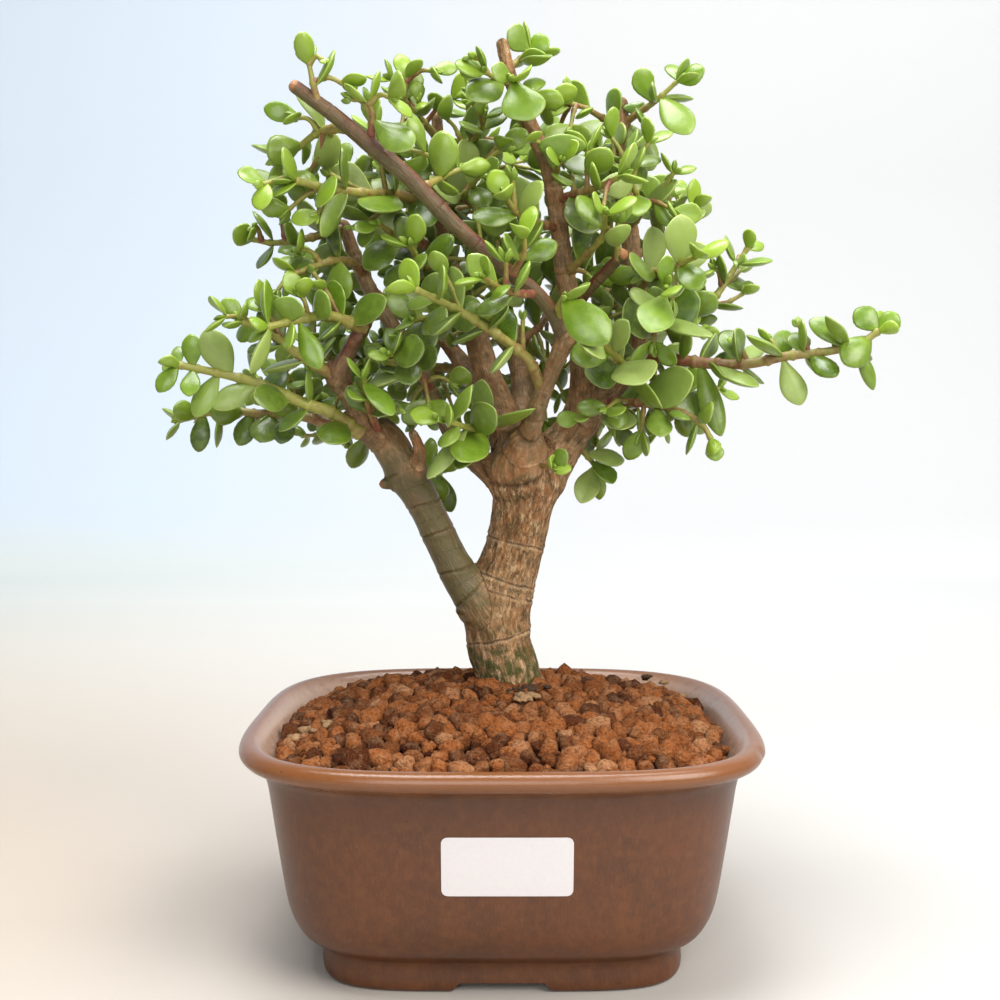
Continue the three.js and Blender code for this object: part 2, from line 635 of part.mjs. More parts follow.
function radialDirection(direction, turn) {
  const { side, other } = stemSides(direction);
  return side.multiplyScalar(Math.cos(turn)).addScaledVector(other, Math.sin(turn));
}

// Distances of the leaf pairs from the start of a stem, tip first. They crowd towards the tip.
function pairDistances(total, bare, leaf) {
  const distances = [];
  const { at_tip: spacing, step, most } = PAIR.spacing;
  let distance = total - PAIR.tip_gap;
  for (let pair = 0; distance > bare; pair++) {
    distances.push(distance);
    distance -= leaf * Math.min(spacing + step * pair, most);
  }
  return distances;
}

function planStem(shoot) {
  return {
    line: smoothLine(shoot.line.map(vector), STEM.steps),
    radius: shoot.radius,
    tipRadius: shoot.radius * STEM.tip_share,
    bare: shoot.bare,
    leaf: shoot.leaf,
  };
}

// The side twigs of a shoot that find room.
function planTwigs(shoot, stem, random, isClear) {
  const twigs = [];
  const total = lineLength(stem.line);
  const distances = pairDistances(total, shoot.bare, shoot.leaf);
  distances.forEach((distance, pair) => {
    const wanted = random();
    const turn = stem.turn + (pair * Math.PI) / 2 + (random() < 0.5 ? Math.PI : 0);
    const half = (shoot.leaf * mix(TWIG.length_share[0], TWIG.length_share[1], random())) / 2;
    if (pair < TWIG.first_pair || wanted > shoot.twigs * TWIG.share_kept) return;
    const { point, direction } = along(stem.line, distance);
    const heading = radialDirection(direction, turn).multiplyScalar(TWIG.outward);
    heading.addScaledVector(direction, TWIG.forward);
    heading.z += TWIG.rise;
    heading.normalize();
    const ending = heading.clone().multiplyScalar(TWIG.end_outward);
    ending.addScaledVector(direction, TWIG.end_forward);
    ending.z += TWIG.end_rise;
    ending.normalize();
    const middle = point.clone().addScaledVector(heading, half);
    const end = middle.clone().addScaledVector(ending, half);
    const line = smoothLine([point, middle, end], 2);
    if (!isClear(line, shoot.name)) return;
    twigs.push({
      line,
      radius: TWIG.radius,
      tipRadius: TWIG.tip_radius,
      bare: shoot.leaf * TWIG.bare_share,
      leaf: shoot.leaf * TWIG.leaf_share,
      turn: turn + TWIG.turn,
    });
  });
  return twigs;
}

// The leaves that a stem would have, tip first.
function wantedLeaves(stem, random) {
  const total = lineLength(stem.line);
  const leaves = [];
  pairDistances(total, stem.bare, stem.leaf).forEach((distance, pair) => {
    const { point, direction } = along(stem.line, distance);
    const age = Math.min(PAIR.size.at_tip + PAIR.size.step * pair, PAIR.size.most);
    for (const opposite of [0, Math.PI]) {
      const sway = mix(-PAIR.sway, PAIR.sway, random());
      const turn = stem.turn + (pair * Math.PI) / 2 + opposite + sway;
      const lift = mix(PAIR.lift[0], PAIR.lift[1], random()) + (pair === 0 ? PAIR.tip_lift : 0);
      const roll = mix(-PAIR.roll, PAIR.roll, random());
      const length = stem.leaf * age * mix(LEAF.length_share[0], LEAF.length_share[1], random());
      const width = length * mix(LEAF.width_share[0], LEAF.width_share[1], random());
      leaves.push({ root: point, direction, turn, lift, roll, length, width });
    }
  });
  return leaves;
}

function leafThickness(length) {
  const [least, most] = LEAF.thickness_range;
  return Math.min(Math.max(length * LEAF.thickness_share, least), most);
}

// A leaf in its place: root, the direction to its tip, its face and its sizes.
function leafPlace(root, tipward, face, length, width, owner) {
  const across = new THREE.Vector3().crossVectors(face, tipward);
  return { root, tipward, face, across, length, width, thickness: leafThickness(length), owner };
}

// The leaf that one attempt makes of a wanted one. Its face follows the stem and leans to the light.
function triedLeaf(wanted, [rollShift, liftShift, turnShift, size], owner) {
  const lift = wanted.lift + liftShift;
  const tipward = radialDirection(wanted.direction, wanted.turn + turnShift);
  tipward.multiplyScalar(Math.cos(lift)).addScaledVector(wanted.direction, Math.sin(lift));
  tipward.z += PAIR.rise;
  tipward.normalize();
  const face = squaredTo(wanted.direction, tipward).addScaledVector(LIGHT, PAIR.light_pull);
  const level = squaredTo(face, tipward);
  const edge = new THREE.Vector3().crossVectors(tipward, level);
  const roll = wanted.roll + rollShift;
  const turned = level.multiplyScalar(Math.cos(roll)).addScaledVector(edge, Math.sin(roll));
  return leafPlace(wanted.root, tipward, turned, wanted.length * size, wanted.width * size, owner);
}

function pointOnLeaf(leaf, [lengthShare, widthShare]) {
  return leaf.root.clone()
    .addScaledVector(leaf.tipward, leaf.length * lengthShare)
    .addScaledVector(leaf.across, leaf.width * widthShare);
}

// Whether a point with some room round it would be inside a leaf.
function touchesLeaf(leaf, point, room) {
  const offset = point.clone().sub(leaf.root);
  const high = Math.abs(offset.dot(leaf.face));
  if (high > leaf.thickness / 2 + room) return false;
  const half = leaf.length / 2;
  const lengthwise = (offset.dot(leaf.tipward) - half) / (half + room);
  const sideways = offset.dot(leaf.across) / (leaf.width / 2 + room);
  return lengthwise * lengthwise + sideways * sideways < 1;
}

// Whether two leaves touch. Leaves of one shoot that share a root may.
function leavesTouch(first, second) {
  const apart = pointOnLeaf(first, [0.5, 0]).distanceTo(pointOnLeaf(second, [0.5, 0]));
  if (apart > (first.length + second.length) / 2 + LEAF_REACH) return false;
  const same = first.owner === second.owner;
  if (same && first.root.distanceTo(second.root) < SAME_ROOT) return false;
  const clear = same ? CLEAR.own : CLEAR.other;
  const feels = (one, two) => {
    const room = one.thickness * CLEAR.leaf_share + clear;
    return LEAF_FEELERS.some((feeler) => touchesLeaf(two, pointOnLeaf(one, feeler), room));
  };
  return feels(first, second) || feels(second, first);
}

// Every stem and leaf of every shoot, with none of them in another shoot or in the wood.
function planPlant() {
  const balls = woodBalls();
  const plans = SHOOTS.map((shoot, index) => {
    const random = seededRandom(PLANT_SEED * 1000 + index);
    const stem = planStem(shoot);
    stem.turn = random() * Math.PI;
    return { shoot, random, stem, twigs: [], leaves: [] };
  });
  for (const { shoot, stem } of plans) {
    balls.push(...ballsAlong(stem.line, stem.radius, stem.tipRadius, shoot.name));
  }
  const ballsTouch = (first, second) =>
    first.point.distanceTo(second.point) < first.radius + second.radius + CLEAR.other;
  const twigIsClear = (line, owner) =>
    !ballsAlong(line, TWIG.radius, TWIG.tip_radius, owner).some((ball) =>
      balls.some((other) => other.owner !== owner && ballsTouch(ball, other)));
  for (const plan of plans) {
    plan.twigs = planTwigs(plan.shoot, plan.stem, plan.random, twigIsClear);
    for (const twig of plan.twigs) {
      balls.push(...ballsAlong(twig.line, twig.radius, twig.tipRadius, plan.shoot.name));
    }
  }
  const placed = [];
  const roomOf = (ball) => ball.radius + (ball.owner === "wood" ? CLEAR.wood : CLEAR.other);
  const leafIsClear = (leaf) =>
    !balls.some((ball) => ball.owner !== leaf.owner && touchesLeaf(leaf, ball.point, roomOf(ball)))
    && !placed.some((other) => leavesTouch(leaf, other));
  const place = (plan, leaf) => {
    plan.leaves.push(leaf);
    placed.push(leaf);
  };
  for (const [name, share, tip, width, face] of LARGE_LEAVES) {
    const plan = plans.find(({ shoot }) => shoot.name === name);
    const root = along(plan.stem.line, lineLength(plan.stem.line) * share).point;
    const toTip = vector(tip).sub(root);
    const length = toTip.length();
    const tipward = toTip.normalize();
    place(plan, leafPlace(root, tipward, squaredTo(vector(face), tipward), length, width, name));
  }
  const queues = plans.map((plan) =>
    [plan.stem, ...plan.twigs].flatMap((stem) => wantedLeaves(stem, plan.random)));
  const longest = Math.max(...queues.map((queue) => queue.length));
  for (let turn = 0; turn < longest; turn++) {
    plans.forEach((plan, index) => {
      const wanted = queues[index][turn];
      if (!wanted || placed.length >= MOST_LEAVES) return;
      for (const attempt of TRIES) {
        const leaf = triedLeaf(wanted, attempt, plan.shoot.name);
        if (leaf.length >= LEAF.least_length && leafIsClear(leaf)) {
          place(plan, leaf);
          return;
        }
      }
    });
  }
  return plans;
}

function geometryFrom(positions, triangles) {
  const geometry = new THREE.BufferGeometry();
  geometry.setAttribute("position", new THREE.Float32BufferAttribute(positions, 3));
  geometry.setIndex(triangles);
  return geometry;
}

// A closed skin over rings of points that run counter-clockwise round the way from ring to ring.
function skinOver(rings) {
  const sides = rings[0].length;
  const positions = rings.flat().flatMap((point) => point.toArray());
  const triangles = [];
  for (let ring = 0; ring < rings.length - 1; ring++) {
    for (let i = 0; i < sides; i++) {
      const next = (i + 1) % sides;
      const [a, b] = [ring * sides + i, ring * sides + next];
      triangles.push(a, b, b + sides, a, b + sides, a + sides);
    }
  }
  const last = (rings.length - 1) * sides;
  for (let i = 1; i < sides - 1; i++) {
    triangles.push(0, i + 1, i, last, last + i, last + i + 1);
  }
  return geometryFrom(positions, triangles);
}

// A tube along a line, with a radius at each of its points.
function taperedTube(line, radii, sides) {
  let { side } = stemSides(line[1].clone().sub(line[0]).normalize());
  const rings = line.map((point, i) => {
    const before = line[Math.max(i - 1, 0)];
    const after = line[Math.min(i + 1, line.length - 1)];
    const direction = after.clone().sub(before).normalize();
    side = squaredTo(side, direction);
    const other = new THREE.Vector3().crossVectors(direction, side);
    return Array.from({ length: sides }, (_, k) => {
      const turn = (k / sides) * FULL_TURN;
      return point.clone()
        .addScaledVector(side, radii[i] * Math.cos(turn))
        .addScaledVector(other, radii[i] * Math.sin(turn));
    });
  });
  return skinOver(rings);
}

// A leaf, plump on top and flatter below, with its root at the middle of the stem.
function leafGeometry(leaf) {
  const [[nearLength, nearWidth], [farLength, farWidth]] = LEAF.outline;
  const rim = [
    [-LEAF.root_depth / leaf.length, 0],
    [nearLength, -nearWidth],
    [farLength, -farWidth],
    [1, 0],
    [farLength, farWidth],
    [nearLength, nearWidth],
  ].map((share, i) => pointOnLeaf(leaf, share)
    .addScaledVector(leaf.face, i === 0 ? 0 : -leaf.thickness * LEAF.share_below));
  const crown = pointOnLeaf(leaf, [LEAF.crown_at, 0]);
  crown.addScaledVector(leaf.face, leaf.thickness * (1 - LEAF.share_below));
  const count = rim.length;
  const above = rim.flatMap((_, i) => [count, i, (i + 1) % count]);
  const below = [0, 5, 1, 1, 5, 4, 1, 4, 2, 2, 4, 3];
  return geometryFrom([...rim, crown].flatMap((point) => point.toArray()), [...above, ...below]);
}

// A closed geometry as a solid that can be joined and cut.
function solid(geometry) {
  const bare = new THREE.BufferGeometry();
  bare.setAttribute("position", geometry.getAttribute("position"));
  bare.setIndex(geometry.index);
  const merged = mergeVertices(bare, 1e-4);
  return new wasm.Manifold(new wasm.Mesh({
    numProp: 3,
    vertProperties: new Float32Array(merged.getAttribute("position").array),
    triVerts: new Uint32Array(merged.index.array),
  }));
}

function joined(solids) {
  return solids.reduce((whole, piece) => whole.add(piece));
}

// The largest of the bodies that a cut leaves.
function mainBody(whole) {
  const bodies = whole.decompose();
  return bodies.reduce((best, body) => (body.volume() > best.volume() ? body : best));
}

// The same solid with the slivers that joining leaves taken out.
function tidied(whole) {
  return whole.asOriginal().simplify(SLIVER);
}

function named(name, whole, material) {
  const made = whole.getMesh();
  const geometry = geometryFrom(Array.from(made.vertProperties), Array.from(made.triVerts));
  geometry.computeVertexNormals();
  const mesh = new THREE.Mesh(geometry, material);
  mesh.name = name;
  return mesh;
}

// A rounded rectangle whose corners are as square as the exponent asks.
function roundedRing({ width, depth, height, square }, sides, scale = 1) {
  const power = (share) => Math.sign(share) * Math.abs(share) ** (2 / square);
  return Array.from({ length: sides }, (_, i) => {
    const turn = (i / sides) * FULL_TURN;
    const [x, y] = [width * power(Math.cos(turn)), depth * power(Math.sin(turn))];
    return new THREE.Vector3(x * scale, y * scale, height);
  });
}

// The ring of the pot's wall at a height, between the rings that are given.
function wallRing(rings, height) {
  const upper = Math.max(1, rings.findIndex((ring) => ring.height >= height));
  const [low, high] = [rings[upper - 1], rings[upper]];
  const share = (height - low.height) / (high.height - low.height);
  return {
    width: mix(low.width, high.width, share),
    depth: mix(low.depth, high.depth, share),
    height,
    square: mix(low.square, high.square, share),
  };
}

function prism(outline, length) {
  const shape = new THREE.Shape(outline.map(([x, y]) => new THREE.Vector2(x, y)));
  const geometry = new THREE.ExtrudeGeometry(shape, { depth: length, bevelEnabled: false });
  return geometry.translate(0, 0, -length / 2).rotateX(Math.PI / 2);
}

function potSolid() {
  const body = solid(skinOver(POT_RINGS.map((ring) => roundedRing(ring, POT_SIDES))));
  const { width_at_foot: foot, width_at_top: top, height } = FOOT_NOTCH;
  const slope = (foot - top) / 2 / height;
  const below = foot / 2 + slope;
  const across = POT_RINGS[0].width * 3;
  const notch = prism([[-below, -1], [below, -1], [top / 2, height], [-top / 2, height]], across);
  const { radius, from_middle: fromMiddle, height: holeHeight } = DRAIN_HOLE;
  const holes = [-1, 1].map((end) => {
    const hole = new THREE.CylinderGeometry(radius, radius, holeHeight * 2, DRAIN_HOLE.sides);
    return solid(hole.rotateX(Math.PI / 2).translate(end * fromMiddle, 0, 0));
  });
  return body
    .subtract(solid(notch))
    .subtract(solid(notch.clone().rotateZ(Math.PI / 2)))
    .subtract(joined(holes));
}

// The label bends with the pot's front and leans with its wall.
function labelSolid() {
  const wall = POT_RINGS.slice(OUTER_WALL_RINGS[0], OUTER_WALL_RINGS[1] + 1);
  const sheet = (lift) => [-1, 1].map((end) => {
    const ring = wallRing(wall, LABEL.middle_height + (end * LABEL.height) / 2);
    return Array.from({ length: LABEL.columns + 1 }, (_, i) => {
      const x = LABEL.side_shift + LABEL.width * (i / LABEL.columns - 0.5);
      const inward = Math.abs(x / ring.width) ** ring.square;
      const depth = ring.depth * (1 - inward) ** (1 / ring.square);
      return new THREE.Vector3(x, -depth - lift, ring.height);
    });
  });
  const [innerLow, innerHigh] = sheet(FIT_GAP);
  const [outerLow, outerHigh] = sheet(FIT_GAP + LABEL.thickness);
  const sections = innerLow.map((_, i) => [innerLow[i], innerHigh[i], outerHigh[i], outerLow[i]]);
  return solid(skinOver(sections));
}

// The soil's top: a mound with the relief of coarse clay granules.
function soilHeight(share, random) {
  const relief = SOIL.granule_height * (random() - 0.5);
  return SOIL.edge_height + SOIL.mound * (1 - share * share) + relief;
}

function soilSolid(woodWithRoom) {
  const random = seededRandom(SOIL_SEED);
  const inside = POT_RINGS.slice(INNER_WALL_RINGS[0], INNER_WALL_RINGS[1] + 1).reverse();
  const fitted = inside.map((ring, i) => ({
    width: ring.width - SOIL.wall_gap,
    depth: ring.depth - SOIL.wall_gap,
    height: i === 0 ? ring.height + FIT_GAP : ring.height,
    square: ring.square,
  }));
  const rings = fitted.map((ring) => roundedRing(ring, POT_SIDES));
  const top = fitted[fitted.length - 1];
  for (let ring = 1; ring < SOIL.rings; ring++) {
    const share = 1 - ring / SOIL.rings;
    rings.push(roundedRing(top, POT_SIDES, share).map((point) => {
      point.z = soilHeight(share, random);
      return point;
    }));
  }
  return solid(skinOver(rings)).subtract(woodWithRoom);
}

// The trunk with its limbs and branches, grown by the room that other pieces keep from it.
function woodSolid(room) {
  return joined(WOOD.map((limb) => {
    const line = smoothLine(limb.line.map(vector), 1);
    const radii = smoothRadii(limb.line, 1).map((radius) => radius + room);
    if (room > 0) {
      const backward = line[0].clone().sub(line[1]).normalize();
      line.unshift(line[0].clone().addScaledVector(backward, room));
      radii.unshift(radii[0]);
    }
    return solid(taperedTube(line, radii, limb.sides));
  }));
}

function stemSolid(stem, sides, steps) {
  const total = lineLength(stem.line);
  const points = Array.from({ length: steps + 1 }, (_, i) => along(stem.line, (total * i) / steps));
  const line = points.map(({ point }) => point);
  const radii = line.map((_, i) => mix(stem.radius, stem.tipRadius, i / steps));
  return solid(taperedTube(line, radii, sides));
}

function shootSolid(plan, woodWithRoom) {
  const spans = plan.shoot.line.length - 1;
  return tidied(mainBody(joined([
    stemSolid(plan.stem, STEM.sides, spans),
    ...plan.twigs.map((twig) => stemSolid(twig, TWIG.sides, 1)),
    ...plan.leaves.map((leaf) => solid(leafGeometry(leaf))),
  ]).subtract(woodWithRoom)));
}

const finish = (color, roughness) => new THREE.MeshStandardMaterial({ color, roughness, metalness: 0 });
const POT_GLAZE = finish("#6b4432", 0.35);
const LABEL_PAPER = finish("#f4f4f2", 0.5);
const CLAY_SOIL = finish("#8a4a24", 0.95);
const BARK = finish("#7c5a3a", 0.85);
const LEAF_SKIN = finish("#5f9a34", 0.4);

const bonsai = new THREE.Group();
const woodWithRoom = woodSolid(FIT_GAP);
bonsai.add(named("pot", potSolid(), POT_GLAZE));
bonsai.add(named("blank_label", labelSolid(), LABEL_PAPER));
bonsai.add(named("soil", soilSolid(woodWithRoom), CLAY_SOIL));
bonsai.add(named("trunk_and_branches", tidied(woodSolid(0)), BARK));
for (const plan of planPlant()) {
  bonsai.add(named("shoot_" + plan.shoot.name, shootSolid(plan, woodWithRoom), LEAF_SKIN));
}

// The origin is under the middle of the whole object, on the surface that it stands on.
const box = new THREE.Box3().setFromObject(bonsai);
const middle = box.getCenter(new THREE.Vector3());
bonsai.position.set(-middle.x, -middle.y, -box.min.z);

export default bonsai;
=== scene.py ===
"""A dwarf jade bonsai in a glazed pot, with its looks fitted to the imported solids. Metres, +Z up."""
import json
import math
import bmesh
import bpy
import numpy as np
from mathutils import Matrix, Vector, noise

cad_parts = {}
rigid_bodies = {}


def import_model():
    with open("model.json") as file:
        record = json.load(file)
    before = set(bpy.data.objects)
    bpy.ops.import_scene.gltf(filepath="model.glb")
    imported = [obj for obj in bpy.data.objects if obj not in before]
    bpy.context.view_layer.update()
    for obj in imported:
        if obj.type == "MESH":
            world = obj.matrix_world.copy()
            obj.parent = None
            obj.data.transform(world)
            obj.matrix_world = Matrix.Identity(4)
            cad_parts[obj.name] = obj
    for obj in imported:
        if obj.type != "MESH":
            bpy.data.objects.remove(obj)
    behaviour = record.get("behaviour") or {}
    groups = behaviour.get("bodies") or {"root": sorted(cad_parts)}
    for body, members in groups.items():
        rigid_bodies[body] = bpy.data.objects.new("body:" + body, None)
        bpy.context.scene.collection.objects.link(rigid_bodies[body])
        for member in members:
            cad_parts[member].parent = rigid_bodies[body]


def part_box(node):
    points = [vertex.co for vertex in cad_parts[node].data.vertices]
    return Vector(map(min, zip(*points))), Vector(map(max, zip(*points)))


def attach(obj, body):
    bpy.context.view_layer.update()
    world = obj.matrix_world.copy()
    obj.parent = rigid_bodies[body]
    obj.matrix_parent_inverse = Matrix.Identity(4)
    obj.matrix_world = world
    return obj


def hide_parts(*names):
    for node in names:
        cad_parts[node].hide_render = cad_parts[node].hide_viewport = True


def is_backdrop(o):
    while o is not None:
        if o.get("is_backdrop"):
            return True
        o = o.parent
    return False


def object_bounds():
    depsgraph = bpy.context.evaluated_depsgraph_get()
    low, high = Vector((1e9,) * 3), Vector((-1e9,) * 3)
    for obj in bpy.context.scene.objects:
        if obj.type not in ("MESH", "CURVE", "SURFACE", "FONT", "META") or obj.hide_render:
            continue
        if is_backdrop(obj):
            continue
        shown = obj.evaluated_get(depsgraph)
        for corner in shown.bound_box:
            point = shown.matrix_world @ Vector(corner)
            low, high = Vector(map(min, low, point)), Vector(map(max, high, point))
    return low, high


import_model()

bl_info = {
    "name": "Dwarf Jade Bonsai",
    "version": (1, 0, 0),
    "blender": (4, 5, 0),
    "location": "View3D > Sidebar > Bonsai",
    "description": "Builds a potted dwarf jade bonsai: pot, soil, wood and leafy shoots",
    "category": "Object",
}

MM = 0.001
NOISE_ROUGHNESS = 0.6
FULL_TURN = math.tau

# The plant and the pot are drawn in millimetres round the middle of the pot.
POT_LOW, POT_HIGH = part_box("pot")
POT_MIDDLE = np.array([(POT_LOW.x + POT_HIGH.x) / 2, (POT_LOW.y + POT_HIGH.y) / 2, 0.0])

# The photograph's camera: its place, how far it looks down and its lens on a 36 mm sensor.
CAMERA = {"place": (-0.58, -388.5, 161.65), "pitch": 86.22, "lens": 44.8, "sensor": 36.0}

# Pot, ring by ring: half the width, half the depth, the height, and how square the corner is.
POT_RINGS = [
    (46.0, 40.6, 3.5, 5.4), (46.6, 41.2, 0.9, 5.4), (47.6, 42.2, 0.0, 5.4), (52.2, 46.7, 0.0, 5.2),
    (53.5, 48.0, 0.8, 5.2), (53.9, 48.4, 2.4, 5.1), (53.5, 48.0, 7.2, 5.0), (54.0, 48.5, 8.8, 4.9),
    (55.8, 50.2, 10.2, 4.8), (59.8, 54.0, 13.0, 4.5), (62.3, 56.4, 16.6, 4.3), (64.2, 58.2, 21.0, 4.1),
    (66.8, 60.6, 34.0, 3.8), (68.9, 62.5, 48.0, 3.7), (70.5, 64.0, 57.0, 3.6), (71.9, 65.3, 60.9, 3.6),
    (74.2, 67.5, 62.7, 3.6), (76.6, 69.8, 63.9, 3.6), (77.9, 71.1, 66.0, 3.6), (77.0, 70.2, 68.2, 3.6),
    (75.0, 68.2, 69.0, 3.6), (72.9, 66.1, 68.4, 3.6), (71.0, 64.2, 66.4, 3.6), (69.2, 62.4, 63.2, 3.6),
    (66.0, 59.4, 54.0, 3.7), (60.0, 53.8, 24.0, 4.1), (56.6, 50.4, 12.0, 4.5), (48.0, 42.2, 8.2, 4.8),
]
# The wall and the lip waver a little, as pressed and brushed stoneware does. The foot doesn't.
POT = {"sides": 192, "steps": 4, "waver": 0.22, "waver_lump": 35.0, "steady_up_to": 8.0,
       "wavers_from": 28.0, "sharp_angle": 38}
# Which rings are the outer and the inner wall, and where the lip's glaze ends and the painted reflection on
# the inside wall fades in.
OUTER_WALL = (8, 15)
INNER_WALL = (23, 27)
LIP_TOP_RING = 20.5
INSIDE_REFLECTION_FADE_RINGS = 1.5
# The two slots that cross the foot, and the drain holes beside the middle.
FOOT_NOTCH = {"width_at_foot": 29, "width_at_top": 24, "height": 3, "reach": 73.6}
DRAIN_HOLE = {"radius": 6, "from_middle": 24, "height": 12, "sides": 40}
# A small chip in the lip at the front right: its middle, its reach and its depth.
LIP_CHIP = {"place": (72.5, -43.5, 67.6), "reach": 2.6, "depth": 0.7}

# The blank label: a thin sheet that follows the wall, in rows and columns.
LABEL = {"width": 35.6, "height": 16.9, "corner": 1.7, "thickness": 0.14, "side_shift": 1.4,
         "middle_height": 41.3, "columns": 40, "rows": 16, "gap": 0.06, "sharp_angle": 50}

# Soil: the mound that the granules cover, its height at the wall and at the trunk, and how far
# below the granules its rough bed lies.
SOIL = {"edge_height": 60.6, "mound": 15.0, "sides": 96, "rings": 30, "wall_gap": 0.5,
        "bed_below": 2.0, "bed_rough": 0.5, "bed_lump": 4.0, "wall_below": 3.0, "edge_share": 2.2}
GRANULES = [
    {"name": "coarse_clay_granules", "spacing": 4.6, "size": (4.6, 8.4), "lift": 1.1, "palest": 1.0,
     "seed": 3},
    # The fine granules fill the gaps and are never paler than 0.7: painted shade between the coarse ones.
    {"name": "fine_clay_granules", "spacing": 2.9, "size": (2.4, 4.4), "lift": 0.4, "palest": 0.7,
     "seed": 8},
]
# A granule is a ball of unit size cut by planes, stretched and roughened with two sizes of lump.
GRANULE = {"shapes": 6, "first_seed": 40, "cuts": 12, "cut_at": (0.33, 0.54), "least_facing": 0.2,
           "widest": 0.6, "coarse": (0.5, 0.14), "crumbly": (0.2, 0.09), "stretch": (0.72, 1.15),
           "most_per_square_metre": 400000.0}
# Dry crumbs on the soil: where, how long and wide, how many and how pale.
LITTER = [
    (6, -23, 10.0, 3.4, 3, 1.0), (10, -19, 8.0, 2.8, 4, 0.9), (9, -13, 3.6, 2.8, 8, 0.1),
    (1, -15, 3.2, 2.4, 3, 0.1), (-59, -19, 6.2, 4.4, 4, 1.0), (-53, -24, 4.6, 2.8, 5, 0.8),
    (58, 44, 4.6, 3.0, 3, 0.9), (52, 47, 3.2, 2.6, 3, 0.1),
]
CRUMB = {"form_seed": 77, "seed": 31, "spread": 2.4, "lift": 4.3, "sinks_at_edge": 6,
         "flatness": 0.45, "size": (0.6, 1.3), "shade": (0.7, 1.0)}

# Facing directions for the large leaves.
FRONT = (0, -1, 0.3)
UP = (0, -0.35, 1)
SIDE = (1, -0.3, 0.2)
# Wood, from where each limb grows to its end: x, y, z and radius.
WOOD = {
    "trunk": [
        (3, 8, 60, 11.2), (2, 8, 78, 10.4), (-1, 8, 90, 9.9), (-1, 8, 100, 9.9), (1, 8, 110, 9.8),
        (4, 7, 120, 9.4), (6, 6, 130, 9.2), (7, 5, 137, 9.8), (7, 4, 142, 11), (7, 3, 148, 10.2),
        (7, 3, 153, 6.5),
    ],
    "left limb": [
        (-1, 7, 94, 7.6), (-8, 4, 104, 6.6), (-13, 3, 111, 5.8), (-18, 2, 121, 5.4), (-24, 0, 134, 5.3),
        (-30, -1, 145, 5.6), (-34, -2, 152, 5.3), (-37, -3, 158, 3.8),
    ],
    "left elbow": [
        (-35, -3, 154, 3.8), (-42, -6, 158, 3.1), (-46, -12, 168, 2.7), (-49, -14, 173, 2.9),
        (-51, -15, 176, 2.3),
    ],
    "twig above the elbow": [
        (-49, -15, 173, 2.3), (-46, -17, 180, 2.3), (-42, -18, 187, 2.2), (-40, -18, 190, 1.8),
    ],
    "front branch": [
        (7, -3, 149, 4.6), (8, -8, 156, 3.6), (11, -14, 166, 2.9), (15, -19, 176, 2.5), (19, -24, 186, 2.3),
        (20, -24, 190, 1.6),
    ],
    "long diagonal branch": [
        (19, -23, 185, 2), (11, -30, 196, 2.2), (-1, -34, 205, 2.3), (-14, -38, 216, 2.4),
        (-25, -41, 227, 2.4), (-36, -43, 236, 2.4), (-46, -44, 244, 2.2), (-56, -45, 251, 1.9),
    ],
    "inner left branch": [
        (4, 8, 148, 6), (-1, 14, 165, 5), (-5, 17, 176, 4.5), (-9, 19, 190, 4), (-15, 20, 205, 3.4),
        (-19, 20, 220, 2.7), (-20, 20, 238, 2.3), (-21, 20, 258, 1.9),
    ],
    "branch from the knuckle": [
        (0, 2, 144, 4.8), (-7, 2, 147, 3.4), (-13, 0, 153, 2.8), (-19, -3, 163, 2.6), (-28, -5, 182, 2.5),
        (-35, -4, 192, 2.3), (-43, -2, 206, 2.3), (-49, 1, 221, 2),
    ],
    "right limb": [
        (12, 5, 142, 7.2), (20, 8, 154, 5.8), (27, 8, 164, 5.2), (36, 7, 171, 3.4), (43, 6, 183, 2.7),
        (43, 9, 200, 2.8), (41, 11, 216, 3), (39, 12, 232, 3.1), (38, 12, 248, 3), (37, 12, 260, 2.8),
    ],
    "leader": [
        (25, 7, 161, 4.4), (25, 3, 174, 3.8), (24, 0, 186, 3.4), (20, -4, 202, 3.1), (18, -6, 214, 2.9),
        (16, -9, 228, 2.8), (13, -12, 239, 2.7), (7, -16, 250, 2.4), (2, -19, 262, 2), (0, -20, 270, 1.8),
    ],
    "red cut branch": [(21, -3, 194, 1.7), (26, -12, 200, 1.8), (31, -18, 205, 1.8), (35, -24, 209, 1.7)],
    "cut stub on the left limb": [(-29, -1, 142, 1.7), (-33, -1, 141.5, 1.5), (-37, -2, 141, 1.3)],
    "dry stub on the left limb": [(-27, -3, 146, 2), (-25, -8, 151, 1.6), (-27, -11, 157, 1.2)],
    "rear left limb": [(0, 12, 160, 4.6), (-9, 28, 174, 3.6), (-20, 40, 189, 2.4)],
    "rear middle limb": [(8, 6, 147, 5.2), (7, 24, 168, 3.9), (4, 36, 192, 2.4)],
    "rear right limb": [(18, 8, 150, 4.6), (27, 25, 164, 3.8), (33, 37, 183, 2.4)],
}
